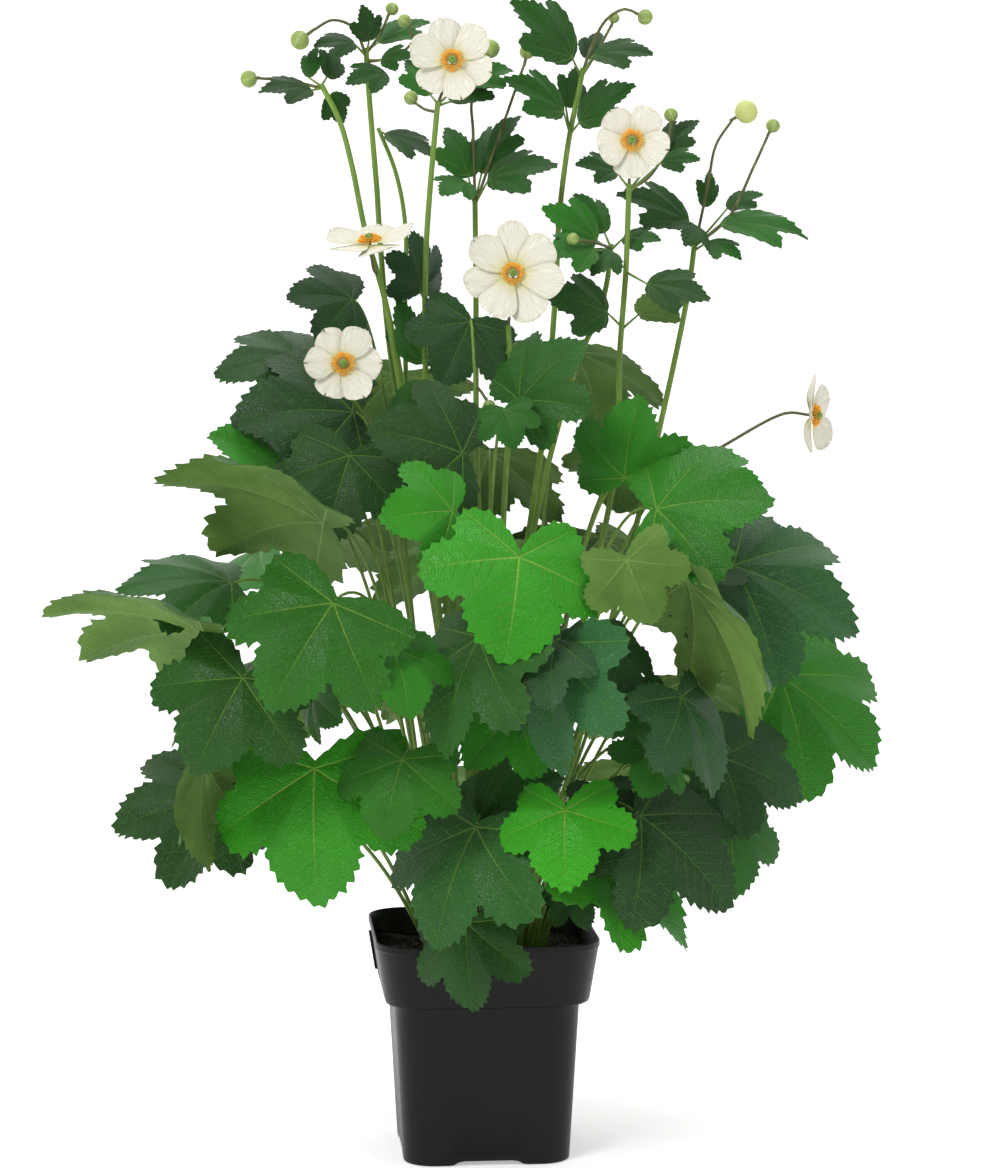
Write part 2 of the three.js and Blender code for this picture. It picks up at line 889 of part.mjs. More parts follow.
// Leaf outlines: half of each, from the main tip round to the notch at the
// joint, as parts of the midrib's length. The other half mirrors it.
const BASAL = {
  half: [
    [0.72, 0.27],
    [0.52, 0.27],
    [0.6, 0.66],
    [0.24, 0.5],
    [-0.05, 0.62],
  ],
  notch: [-0.06, 0],
  spokes: [0, 3, 5, 7, 9],
  turns: [2, 4, 6, 8, 10],
  veins: [0, 0.85, 1.55],
  stalkShares: [0.2, 0.62],
};
const BRACT = {
  half: [
    [0.52, 0.17],
    [0.57, 0.44],
    [0.12, 0.28],
  ],
  notch: [-0.03, 0],
  spokes: [0, 2, 6],
  turns: [1, 4, 7],
  veins: [0, 0.65],
  stalkShares: [0.35, 0.7],
};
const SPOKE_SHARE = 0.5;
const VEIN_REACH = 0.42;
const ARCH = 0.34;
const DROOP = 0.36;
const FOLD = 0.1;
const WAVE = 0.08;
const GOLDEN_SHARE = 0.618;

function outlineOf(template) {
  const other = template.half.map(([x, y]) => [x, -y]).reverse();
  return [[1, 0], ...template.half, template.notch, ...other];
}

function bladePoint(leaf, x, y) {
  const reach = Math.hypot(x, y);
  const bearing = Math.abs(Math.atan2(y, x));
  const fanned = Math.PI * (1 - (1 - bearing / Math.PI) ** leaf.fan);
  const side = y < 0 ? -1 : 1;
  const along = reach * Math.cos(fanned);
  const across = side * reach * Math.sin(fanned);
  const offVein = Math.min(...leaf.template.veins.map((vein) => Math.abs(bearing - vein)));
  const wave = Math.sin(3 * side * bearing + leaf.phase) * Math.sin(bearing / 2) ** 2;
  const rise =
    ARCH * along * (1 - along) -
    DROOP * across * across +
    FOLD * reach * Math.min(1, offVein / VEIN_REACH) +
    WAVE * reach * reach * wave;
  return leaf.joint
    .clone()
    .addScaledVector(leaf.midrib, leaf.length * along)
    .addScaledVector(leaf.side, leaf.length * across)
    .addScaledVector(leaf.normal, leaf.length * rise);
}

function bladeSurface(leaf) {
  const { spokes, turns } = leaf.template;
  const outline = outlineOf(leaf.template);
  const rim = outline.length;
  const inner = spokes.map((k) => outline[k].map((c) => c * SPOKE_SHARE));
  const centre = rim + inner.length;
  const flat = [...outline, ...inner, [0, 0]];
  const points = flat.map(([x, y]) => bladePoint(leaf, x, y));
  const faces = [];
  spokes.forEach((start, k) => {
    const next = (k + 1) % spokes.length;
    const end = spokes[next] > start ? spokes[next] : rim;
    for (let i = start; i < turns[k]; i += 1) faces.push([rim + k, i, i + 1]);
    for (let i = turns[k]; i < end; i += 1) faces.push([rim + next, i, (i + 1) % rim]);
    if (outline[turns[k]] === leaf.template.notch) {
      faces.push([centre, rim + k, turns[k]]);
      faces.push([centre, turns[k], rim + next]);
    } else {
      faces.push([rim + k, turns[k], rim + next]);
      faces.push([centre, rim + k, rim + next]);
    }
  });
  return { points, faces, rim };
}

// A thin closed sheet: the same triangles on both faces, and a narrow rim
function sheet({ points, faces, rim }, normal, thickness) {
  const up = points.map((p) => p.clone().addScaledVector(normal, thickness / 2));
  const down = points.map((p) => p.clone().addScaledVector(normal, -thickness / 2));
  const under = points.length;
  const all = faces.map((face) => [...face]);
  faces.forEach(([a, b, c]) => all.push([under + a, under + c, under + b]));
  for (let i = 0; i < rim; i += 1) {
    const j = (i + 1) % rim;
    all.push([i, under + i, under + j]);
    all.push([i, under + j, j]);
  }
  return closedSurface([...up, ...down], all);
}

function makeLeaf(node, template, joint, tip, outward, roll, fan, foot, count) {
  const midrib = tip.clone().sub(joint);
  const length = midrib.length();
  midrib.normalize();
  const facing = outward.clone().addScaledVector(midrib, -outward.dot(midrib)).normalize();
  const normal = facing.applyAxisAngle(midrib, THREE.MathUtils.degToRad(roll));
  const side = normal.clone().cross(midrib);
  const phase = 2 * Math.PI * ((count * GOLDEN_SHARE) % 1);
  const place = { joint, midrib, normal, side, length, foot };
  return { node, template, fan, phase, shift: 0, bend: 0, ...place };
}

function frontLeaves() {
  return FRONT_LEAVES.map(([tuft, jx, jy, layer, tx, ty, lean, roll, fan], count) => {
    const depth = moundDepth(jx, jy, layer);
    const joint = seen(jx, jy, depth);
    const tip = seen(tx, ty, depth - lean);
    const outward = EYE.clone().sub(joint).normalize();
    return makeLeaf(tuftName(tuft), BASAL, joint, tip, outward, roll, fan, null, count);
  });
}

function rearLeaves() {
  const random = seeded(REAR_SEED);
  const made = [];
  REAR_ROWS.forEach(([height, count, first, last, length]) => {
    for (let i = 0; i < count; i += 1) {
      const even = first + ((last - first) * i) / (count - 1);
      const bearing = THREE.MathUtils.degToRad(even + REAR_BEARING_SPREAD * (random() - 0.5));
      const z = height + REAR_HEIGHT_SPREAD * (random() - 0.5);
      const out = new THREE.Vector3(Math.cos(bearing), REAR_FLATNESS * Math.sin(bearing), 0);
      const joint = out.clone().multiplyScalar(REAR_JOINT_SHARE * moundRadius(z));
      joint.z = z + REAR_JOINT_LIFT * length;
      const fall = out.clone().multiplyScalar(REAR_FALL[0]);
      fall.z += REAR_FALL[1];
      fall.applyAxisAngle(UP, REAR_TURN_SPREAD * (random() - 0.5)).normalize();
      const tip = joint.clone().addScaledVector(fall, length * (0.9 + 0.2 * random()));
      const outward = out.clone().addScaledVector(UP, REAR_OUTWARD_RISE).normalize();
      const roll = REAR_ROLL_SPREAD * (random() - 0.5);
      const fan = 1 + 0.3 * random();
      made.push({ bearing, joint, tip, outward, roll, fan });
    }
  });
  made.sort((a, b) => a.bearing - b.bearing);
  return made.map(({ joint, tip, outward, roll, fan }, rank) => {
    const tuft = FIRST_REAR_TUFT + Math.floor((rank * REAR_TUFTS) / made.length);
    const count = FRONT_LEAVES.length + rank;
    return makeLeaf(tuftName(tuft), BASAL, joint, tip, outward, roll, fan, null, count);
  });
}

function bractLeaves() {
  const made = [];
  STEMS.forEach((stem) => {
    stem.bracts.forEach(([sx, sy, sd, jx, jy, jd, tx, ty, td, roll, fan]) => {
      const joint = seen(jx, jy, jd);
      const outward = EYE.clone().sub(joint).normalize();
      const tip = seen(tx, ty, td);
      const foot = seen(sx, sy, sd);
      const count = 3 * made.length;
      made.push(makeLeaf(stemName(stem), BRACT, joint, tip, outward, roll, fan, foot, count));
    });
  });
  return made;
}

function tuftName(tuft) {
  return "leaf_tuft_" + String(tuft).padStart(2, "0");
}

function stemName(stem) {
  return "flower_stem_" + stem.name;
}

// The stalk of a leaf rises from the crown and bows over to its blade. A
// bract's stalk leaves its stem almost straight.
function stalkCurve(leaf) {
  const end = bladePoint(leaf, leaf.template.notch[0] / 2, 0);
  const run = end.clone().sub(leaf.foot);
  const flat = Math.hypot(run.x, run.y);
  const shares = leaf.template.stalkShares;
  let rises = shares.map((share) => share * run.z);
  if (leaf.template === BASAL) {
    rises = BOW.map(([up, out]) => up * run.z + out * flat);
  }
  const middle = shares.map(
    (share, k) =>
      new THREE.Vector3(
        leaf.foot.x + share * run.x,
        leaf.foot.y + share * run.y + BEND_SHARES[k] * leaf.bend,
        leaf.foot.z + rises[k],
      ),
  );
  return new THREE.CubicBezierCurve3(leaf.foot.clone(), middle[0], middle[1], end);
}

// The curves of a flower stem: its main path, side stems and bare stalks

function picturePath(rows) {
  return new THREE.CatmullRomCurve3(rows.map(([px, py, depth]) => seen(px, py, depth)));
}

function mainCurve(stem, shoot) {
  const points = stem.path.map(([px, py, depth]) => seen(px, py, depth));
  points.push(new THREE.Vector3(shoot.x, shoot.y, SOIL_TOP + STUB_TOP));
  points.push(new THREE.Vector3(shoot.x, shoot.y, SOIL_TOP - STUB_DEPTH));
  return new THREE.CatmullRomCurve3(points);
}

function bloomCurve(bloom) {
  const facing = new THREE.Vector3(...bloom.facing).normalize();
  const centre = seen(...bloom.centre);
  return new THREE.CatmullRomCurve3([
    seen(...bloom.from),
    centre.clone().addScaledVector(facing, -BLOOM_STALK_BACK),
    centre.clone().addScaledVector(facing, -BLOOM_STALK_NEAR),
    centre.clone().addScaledVector(facing, BUTTON_RISE),
  ]);
}

// The crown: each shoot leans to its leaves, and keeps its distance from the others

function crownShoots(leaves) {
  const shoots = STEMS.map((stem) => ({
    name: stemName(stem),
    x: stem.crown[0],
    y: stem.crown[1],
    radius: STEM_RADIUS,
  }));
  const tufts = [...new Set(leaves.map((leaf) => leaf.node))];
  tufts.forEach((name) => {
    const own = leaves.filter((leaf) => leaf.node === name);
    const mean = new THREE.Vector2();
    own.forEach((leaf) => mean.add(new THREE.Vector2(leaf.joint.x, leaf.joint.y)));
    mean.divideScalar(own.length);
    const away = CROWN_RADIUS * (0.5 + 0.5 * Math.min(1, mean.length() / CROWN_FULL_AT));
    mean.setLength(away);
    shoots.push({ name, x: mean.x, y: mean.y, radius: STALK_RADIUS });
  });
  for (let round = 0; round < CROWN_ROUNDS; round += 1) {
    shoots.forEach((a, i) =>
      shoots.slice(i + 1).forEach((b) => {
        const dx = b.x - a.x;
        const dy = b.y - a.y;
        const distance = Math.hypot(dx, dy);
        const push = (SHOOT_SPACING - distance) / 2;
        if (push <= 0) return;
        a.x -= (push * dx) / distance;
        a.y -= (push * dy) / distance;
        b.x += (push * dx) / distance;
        b.y += (push * dy) / distance;
      }),
    );
  }
  return shoots;
}

// Blades and stalks slide forwards or backwards until they pass each other with
// a gap. What each one covers is marked on a grid seen from the front.

function cellOf(x, z) {
  return Math.round(x / CELL) * ROW_CELLS + Math.round(z / CELL);
}

function coverTriangle(a, b, c, put) {
  const area = (b.x - a.x) * (c.z - a.z) - (c.x - a.x) * (b.z - a.z);
  if (Math.abs(area) < 1e-6) return;
  const lowX = Math.ceil(Math.min(a.x, b.x, c.x) / CELL);
  const highX = Math.floor(Math.max(a.x, b.x, c.x) / CELL);
  const lowZ = Math.ceil(Math.min(a.z, b.z, c.z) / CELL);
  const highZ = Math.floor(Math.max(a.z, b.z, c.z) / CELL);
  for (let i = lowX; i <= highX; i += 1) {
    for (let k = lowZ; k <= highZ; k += 1) {
      const x = i * CELL;
      const z = k * CELL;
      const u = ((b.x - x) * (c.z - z) - (c.x - x) * (b.z - z)) / area;
      const v = ((c.x - x) * (a.z - z) - (a.x - x) * (c.z - z)) / area;
      const w = 1 - u - v;
      if (u >= 0 && v >= 0 && w >= 0) put(cellOf(x, z), u * a.y + v * b.y + w * c.y);
    }
  }
}

// The wall of the pot, which leaves hang in front of
function coverPot(marks, body) {
  const wide = Math.floor((RIM_HALF - 3) / CELL);
  for (let i = -wide; i <= wide; i += 1) {
    for (let k = Math.ceil(COLLAR_BOTTOM / CELL); k <= Math.floor(POT_HEIGHT / CELL) + 1; k += 1) {
      const cell = cellOf(i * CELL, k * CELL);
      const depth = -RIM_HALF - WALL_CLEARANCE;
      marks.push({ cell, depth, body, node: "pot", thin: false, pot: true });
    }
  }
}

function coverBlade(marks, leaf, body) {
  const { points, faces, rim } = bladeSurface(leaf);
  const put = (cell, depth) =>
    marks.push({ cell, depth, body, node: leaf.node, thin: false, lead: [leaf, "shift", 1] });
  faces.forEach(([a, b, c]) => coverTriangle(points[a], points[b], points[c], put));
  for (let i = 0; i < rim; i += 1) {
    const next = points[(i + 1) % rim];
    const steps = Math.ceil(points[i].distanceTo(next) / EDGE_STEP);
    for (let k = 0; k < steps; k += 1) {
      const p = points[i].clone().lerp(next, k / steps);
      put(cellOf(p.x, p.z), p.y);
    }
  }
}

function coverStalk(marks, leaf, body) {
  const curve = stalkCurve(leaf);
  const steps = Math.max(2, Math.round(curve.getLength() / CURVE_STEP));
  const shares = leaf.template.stalkShares;
  for (let i = 0; i <= steps; i += 1) {
    const t = i / steps;
    const s = 1 - t;
    const p = curve.getPoint(t);
    const follow = 3 * s * s * t * shares[0] + 3 * s * t * t * shares[1] + t * t * t;
    marks.push({
      cell: cellOf(p.x, p.z),
      depth: p.y,
      body,
      node: leaf.node,
      thin: true,
      row: rowOf(leaf),
      lead: [leaf, "bend", 3 * t * s * (BEND_SHARES[0] * s + BEND_SHARES[1] * t)],
      also: [leaf, "shift", follow],
    });
  }
}

function coverCurve(marks, curve, node, body) {
  const steps = Math.round(curve.getLength() / CURVE_STEP);
  for (let i = 0; i <= steps; i += 1) {
    const p = curve.getPointAt(i / steps);
    marks.push({ cell: cellOf(p.x, p.z), depth: p.y, body, node, thin: true, row: STEM_ROW });
  }
}

function coverBloom(marks, bloom, node, body) {
  petalSheets(bloom).forEach(({ points, faces }) =>
    faces.forEach(([a, b, c]) =>
      coverTriangle(points[a], points[b], points[c], (cell, depth) =>
        marks.push({ cell, depth, body, node, thin: false }),
      ),
    ),
  );
}

// Where two thin pieces cross, the one of the lower row passes in front. Stalks of
// front leaves pass before the flower stems, those of rear leaves behind them, and
// the middle ones as they come.
function rowOf(leaf) {
  if (leaf.template !== BASAL || Math.abs(leaf.joint.y) < ROW_EDGE) return undefined;
  return leaf.joint.y < 0 ? STEM_ROW - 1 : STEM_ROW + 1;
}

function place(mark) {
  let depth = mark.depth;
  if (mark.lead) depth += mark.lead[2] * mark.lead[0][mark.lead[1]];
  if (mark.also) depth += mark.also[2] * mark.also[0][mark.also[1]];
  return depth;
}

function meetings(marks) {
  const cells = new Map();
  marks.forEach((mark) => {
    if (!cells.has(mark.cell)) cells.set(mark.cell, []);
    cells.get(mark.cell).push(mark);
  });
  const found = new Map();
  cells.forEach((list) => {
    list.forEach((a, i) => {
      list.slice(i + 1).forEach((b) => {
        if (a.body === b.body) return;
        if (!a.lead && !b.lead) return;
        if (a.lead && b.lead && a.lead[0] === b.lead[0]) return;
        if (a.node === b.node && (a.thin || b.thin)) return;
        if ((a.pot && b.thin) || (b.pot && a.thin)) return;
        const key = Math.min(a.body, b.body) * MOST_BODIES + Math.max(a.body, b.body);
        if (!found.has(key)) found.set(key, []);
        found.get(key).push(a.body < b.body ? [a, b] : [b, a]);
      });
    });
  });
  return [...found.values()].map((contacts) => {
    const total = contacts.reduce((sum, [a, b]) => sum + place(b) - place(a), 0);
    const [a, b] = contacts[0];
    const rows = a.row !== undefined && b.row !== undefined ? b.row - a.row : 0;
    const wall = (b.pot ? 1 : 0) - (a.pot ? 1 : 0);
    const order = wall || Math.sign(rows) || (total < 0 ? -1 : 1);
    return { contacts, order, gap: a.thin || b.thin ? STALK_GAP : BLADE_GAP };
  });
}

function settle(marks) {
  const pairs = meetings(marks);
  for (let round = 0; round < SETTLE_ROUNDS; round += 1) {
    const moves = new Map();
    const push = (mark, amount) => {
      if (!mark.lead) return;
      const [leaf, part, weight] = mark.lead;
      const reach = part === "bend" ? Math.max(LEAST_REACH, weight) : 1;
      const step = moves.get(leaf) ?? { shift: 0, bend: 0 };
      step[part] += amount / reach;
      moves.set(leaf, step);
    };
    pairs.forEach(({ contacts, order, gap }) => {
      let worst = 0;
      let at = null;
      contacts.forEach(([a, b]) => {
        const missing = gap - order * (place(b) - place(a));
        if (missing > worst) {
          worst = missing;
          at = [a, b];
        }
      });
      if (!at) return;
      const [a, b] = at;
      const ease = (mark) => {
        if (!mark.lead) return 0;
        return mark.thin ? STALK_EASE : 1;
      };
      const total = ease(a) + ease(b);
      push(a, (-order * SETTLE_PACE * worst * ease(a)) / total);
      push(b, (order * SETTLE_PACE * worst * ease(b)) / total);
    });
    moves.forEach((step, leaf) => {
      leaf.shift = THREE.MathUtils.clamp(leaf.shift + step.shift, -MOST_SHIFT, MOST_SHIFT);
      leaf.bend = THREE.MathUtils.clamp(leaf.bend + step.bend, -MOST_BEND, MOST_BEND);
    });
  }
}

// Blooms: broad petals on a hub round the stalk, a ring of stamens, and the
// green button, which is the end of the stalk

function bloomAxes(bloom) {
  const facing = new THREE.Vector3(...bloom.facing).normalize();
  const sight = Math.abs(facing.z) > 0.9 ? new THREE.Vector3(0, -1, 0) : UP.clone();
  const first = sight.addScaledVector(facing, -sight.dot(facing)).normalize();
  const second = facing.clone().cross(first);
  return { centre: seen(...bloom.centre), facing, first, second };
}

function petalSheets(bloom) {
  const { centre, facing, first, second } = bloomAxes(bloom);
  const sheets = [];
  for (let petal = 0; petal < bloom.petals; petal += 1) {
    const turn = THREE.MathUtils.degToRad(bloom.turn + (360 * petal) / bloom.petals);
    const along = first.clone().multiplyScalar(Math.cos(turn)).addScaledVector(second, Math.sin(turn));
    const across = facing.clone().cross(along);
    const broad = 6 / bloom.petals;
    const odd = petal === bloom.petals - 1 && bloom.petals % 2 === 1;
    const layer = odd ? 0 : (petal % 2) - 0.5;
    const rise = (x, y) =>
      CUP * x * x + INNER_CUP * layer * x + TWIST * y * x - EDGE_CURL * y * y;
    const at = (x, y) =>
      centre
        .clone()
        .addScaledVector(along, bloom.radius * x)
        .addScaledVector(across, bloom.radius * y * broad)
        .addScaledVector(facing, bloom.radius * rise(x, y) + layer * LAYER_RISE);
    const right = PETAL_ROWS.map(([x, y]) => at(x, -y));
    const left = PETAL_ROWS.map(([x, y]) => at(x, y)).reverse();
    const middle = [at(PETAL_ROWS[1][0], 0), at(PETAL_MIDDLE, 0)];
    const points = [...right, ...left, ...middle];
    const faces = [
      [0, 1, 8],
      [0, 8, 7],
      [7, 8, 6],
      [1, 2, 9],
      [1, 9, 8],
      [8, 9, 6],
      [6, 9, 5],
      [2, 3, 9],
      [3, 4, 9],
      [9, 4, 5],
    ];
    sheets.push({ points, faces, rim: 2 * PETAL_ROWS.length });
  }
  return sheets;
}

function ringAround(profile, sides, firstAngle) {
  const loop = [...profile, profile[0]].map(([r, h]) => new THREE.Vector2(r, h));
  return new THREE.LatheGeometry(loop, sides, firstAngle);
}

// Turns a ring made round the Y axis to face as its bloom does
function facingBloom(ring, bloom) {
  const { centre, facing, first, second } = bloomAxes(bloom);
  const placed = new THREE.Matrix4().makeBasis(first, facing, second.clone().negate());
  return ring.applyMatrix4(placed.setPosition(centre));
}

function petalsSolid(bloom) {
  const { facing } = bloomAxes(bloom);
  const profile = [
    [HUB_INNER, -HUB_HALF_HEIGHT],
    [HUB_OUTER, -HUB_HALF_HEIGHT],
    [HUB_OUTER, HUB_HALF_HEIGHT],
    [HUB_INNER, HUB_HALF_HEIGHT],
  ];
  const between = THREE.MathUtils.degToRad(bloom.turn) + Math.PI / 2 + Math.PI / bloom.petals;
  const hub = facingBloom(ringAround(profile, bloom.petals, between), bloom);
  const petals = petalSheets(bloom).map((petal) => solid(sheet(petal, facing, PETAL_THICKNESS)));
  return fused([solid(hub), ...petals]);
}

function stamensSolid(bloom) {
  const profile = [
    [STAMEN_INNER, HUB_HALF_HEIGHT + 0.35],
    [STAMEN_OUTER, HUB_HALF_HEIGHT + 2.2],
    [STAMEN_TOP, HUB_HALF_HEIGHT + 4.6],
    [STAMEN_INNER + 0.9, HUB_HALF_HEIGHT + 3.2],
  ];
  const ring = ringAround(profile, STAMEN_SIDES, 0);
  const spots = ring.getAttribute("position");
  for (let i = 0; i < spots.count; i += 1) {
    const radius = Math.hypot(spots.getX(i), spots.getZ(i));
    const bearing = Math.atan2(spots.getZ(i), spots.getX(i));
    const step = Math.round((bearing * STAMEN_SIDES) / (2 * Math.PI));
    const notch = step % 2 !== 0 && radius > HUB_OUTER + 1 ? STAMEN_NOTCH : 1;
    spots.setX(i, spots.getX(i) * notch);
    spots.setZ(i, spots.getZ(i) * notch);
  }
  return solid(facingBloom(ring, bloom));
}

// Put the plant together

const leaves = [...frontLeaves(), ...rearLeaves()];
const shoots = crownShoots(leaves);
const shootOf = (name) => shoots.find((shoot) => shoot.name === name);
leaves.forEach((leaf) => {
  const shoot = shootOf(leaf.node);
  leaf.foot = new THREE.Vector3(shoot.x, shoot.y, SOIL_TOP + FOOT_ABOVE_SOIL);
});
const bracts = bractLeaves();
const foliage = [...leaves, ...bracts];

const stemRods = STEMS.map((stem) => [
  { curve: mainCurve(stem, shootOf(stemName(stem))), radius: STEM_RADIUS, sides: 4, spacing: 90 },
  ...stem.branches.map((rows) => ({
    curve: picturePath(rows),
    radius: BRANCH_RADIUS,
    sides: 3,
    spacing: 60,
  })),
  ...stem.stalks.map((rows) => ({
    curve: picturePath(rows),
    radius: PEDUNCLE_RADIUS,
    sides: 3,
    spacing: 26,
  })),
  ...stem.blooms.map((bloom) => ({
    curve: bloomCurve(bloom),
    radius: PEDUNCLE_RADIUS,
    sides: 3,
    spacing: 24,
  })),
]);

const marks = [];
foliage.forEach((leaf, i) => {
  coverBlade(marks, leaf, i);
  coverStalk(marks, leaf, foliage.length + i);
});
let nextBody = 2 * foliage.length;
coverPot(marks, nextBody);
nextBody += 1;
STEMS.forEach((stem, i) => {
  stemRods[i].forEach(({ curve }) => {
    coverCurve(marks, curve, stemName(stem), nextBody);
    nextBody += 1;
  });
  stem.blooms.forEach((bloom) => {
    coverBloom(marks, bloom, bloom.name, nextBody);
    nextBody += 1;
  });
});
settle(marks);
foliage.forEach((leaf) => {
  leaf.joint.y += leaf.shift;
});

function leafSolids(leaf, rank) {
  const basal = leaf.template === BASAL;
  const curve = stalkCurve(leaf);
  const basalSteps = leaf.joint.y < 0 ? 4 : 3;
  const steps = basal ? basalSteps : 1;
  const neck = Math.max(LEAST_NECK_SHARE, 1 - NECK / curve.getLength());
  const centres = [];
  if (basal && rank === 0) centres.push(leaf.foot.clone().setZ(SOIL_TOP - STUB_DEPTH));
  for (let i = 0; i <= steps; i += 1) centres.push(curve.getPointAt((neck * i) / steps));
  centres.push(curve.getPointAt(1));
  const radius = basal ? STALK_RADIUS : BRACT_STALK_RADIUS;
  return [
    solid(sheet(bladeSurface(leaf), leaf.normal, BLADE_THICKNESS)),
    solid(pointedStalk(centres, radius, basal && rank > 0 ? SIDE_STALK_START : 1)),
  ];
}

// Finishes, from the photograph
const finish = (color, roughness) => new THREE.MeshStandardMaterial({ color, roughness, metalness: 0 });
const POT_PLASTIC = finish(0x16171a, 0.38);
const SOIL_EARTH = finish(0x2c2018, 0.95);
const LEAF_GREENS = [0x2f6b1c, 0x3a7a1f, 0x2a5a22, 0x447f26, 0x33682c].map((hex) => finish(hex, 0.6));
const STEM_GREEN = finish(0x6f8f3a, 0.55);
const PETAL_WHITE = finish(0xf4f2ec, 0.55);
const STAMEN_ORANGE = finish(0xf0940f, 0.7);

// Where the neck of a bud that stands off its stalk starts: a little inside the
// stalk's end
function insideStalk(end, spot) {
  const away = end.clone().sub(spot).normalize();
  return end.clone().addScaledVector(away, NECK_OVERLAP);
}

const plant = new THREE.Group();

function add(name, body, material) {
  const { numProp, vertProperties, triVerts } = body.getMesh();
  const spots = [];
  for (let i = 0; i < vertProperties.length; i += numProp) {
    spots.push(vertProperties[i], vertProperties[i + 1], vertProperties[i + 2]);
  }
  const geometry = new THREE.BufferGeometry();
  geometry.setAttribute("position", new THREE.Float32BufferAttribute(spots, 3));
  geometry.setIndex(new THREE.BufferAttribute(Uint32Array.from(triVerts), 1));
  const mesh = new THREE.Mesh(geometry, material);
  mesh.name = name;
  plant.add(mesh);
  return mesh;
}

add("pot", potSolid(), POT_PLASTIC).rotation.z = POT_TURN;
add("soil", soilSolid(shoots), SOIL_EARTH).rotation.z = POT_TURN;

const tufts = [...new Set(leaves.map((leaf) => leaf.node))];
tufts.forEach((name, i) => {
  const own = leaves.filter((leaf) => leaf.node === name);
  add(name, fused(own.flatMap(leafSolids)), LEAF_GREENS[i % LEAF_GREENS.length]);
});

STEMS.forEach((stem, i) => {
  const name = stemName(stem);
  const pieces = [];
  stemRods[i].forEach(({ curve, radius, sides, spacing }) => {
    const steps = Math.max(2, Math.round(curve.getLength() / spacing));
    pieces.push(solid(rod(curve, radius, sides, steps)));
  });
  const ends = stem.stalks.map((rows) => seen(...rows[rows.length - 1]));
  stem.buds.forEach(([px, py, depth, radius]) => {
    const bud =
      radius > SMALL_BUD
        ? new THREE.IcosahedronGeometry(radius, 0)
        : new THREE.OctahedronGeometry(radius, 0);
    const spot = seen(px, py, depth);
    pieces.push(solid(bud.translate(spot.x, spot.y, spot.z)));
    ends.sort((a, b) => a.distanceTo(spot) - b.distanceTo(spot));
    if (ends[0].distanceTo(spot) < BUD_CORE * radius) return;
    const neck = new THREE.LineCurve3(insideStalk(ends[0], spot), spot);
    pieces.push(solid(rod(neck, NECK_RADIUS, 3, 1)));
  });
  stem.blooms.forEach((bloom) => {
    const { centre, facing } = bloomAxes(bloom);
    const spot = centre.addScaledVector(facing, BUTTON_RISE);
    const button = new THREE.IcosahedronGeometry(BUTTON_RADIUS, 0);
    pieces.push(solid(button.translate(spot.x, spot.y, spot.z)));
  });
  pieces.push(...bracts.filter((leaf) => leaf.node === name).flatMap(leafSolids));
  add(name, fused(pieces), STEM_GREEN);
  stem.blooms.forEach((bloom) => {
    add(bloom.name + "_petals", petalsSolid(bloom), PETAL_WHITE);
    add(bloom.name + "_stamens", stamensSolid(bloom), STAMEN_ORANGE);
  });
});

export default plant;
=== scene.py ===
import math

import bmesh
import bpy
import numpy as np
from mathutils import Matrix, Vector, kdtree


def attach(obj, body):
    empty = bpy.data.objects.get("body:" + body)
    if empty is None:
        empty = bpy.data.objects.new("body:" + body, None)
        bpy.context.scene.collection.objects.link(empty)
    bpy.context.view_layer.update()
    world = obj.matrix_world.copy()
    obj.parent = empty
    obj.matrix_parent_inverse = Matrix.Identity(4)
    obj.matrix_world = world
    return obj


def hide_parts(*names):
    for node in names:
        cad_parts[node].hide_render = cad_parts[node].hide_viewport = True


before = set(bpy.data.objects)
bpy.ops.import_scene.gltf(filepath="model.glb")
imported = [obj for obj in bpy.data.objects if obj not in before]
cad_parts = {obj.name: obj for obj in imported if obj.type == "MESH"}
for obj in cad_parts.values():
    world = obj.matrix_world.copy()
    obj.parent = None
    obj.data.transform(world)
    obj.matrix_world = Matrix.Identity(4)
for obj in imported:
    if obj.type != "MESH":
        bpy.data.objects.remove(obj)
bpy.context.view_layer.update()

# A potted japanese anemone. The sizes here are millimetres, as on the part's own
# drawing, and a mesh is turned to metres when it is made. The front faces -Y.
MM = 0.001

# The view: the eye's place, how far it looks down, and its focal length in pixels
EYE = np.array([14.9, -2800.0, 725.0])
EYE_DOWN = math.radians(5.25)
FOCAL = 3433.0
PICTURE_WIDTH = 1000
PICTURE_HEIGHT = 1168
SENSOR = 36.0
UP = np.array([0.0, 0.0, 1.0])


def make_camera():
    lens = bpy.data.cameras.new("camera")
    lens.sensor_width = SENSOR
    lens.lens = SENSOR * FOCAL / PICTURE_HEIGHT
    lens.clip_start = 0.1
    lens.clip_end = 60.0
    camera = bpy.data.objects.new("camera", lens)
    camera.location = Vector(EYE * MM)
    camera.rotation_euler = (math.pi / 2 - EYE_DOWN, 0.0, 0.0)
    bpy.context.scene.collection.objects.link(camera)
    bpy.context.scene.camera = camera


make_camera()


def seen(px, py, depth):
    """The point of the plant at a picture point and a depth (Y)."""
    across = (px - PICTURE_WIDTH / 2) / FOCAL
    up = (PICTURE_HEIGHT / 2 - py) / FOCAL
    away = math.cos(EYE_DOWN) + up * math.sin(EYE_DOWN)
    rise = up * math.cos(EYE_DOWN) - math.sin(EYE_DOWN)
    reach = (depth - EYE[1]) / away
    return np.array([EYE[0] + across * reach, depth, EYE[2] + rise * reach])


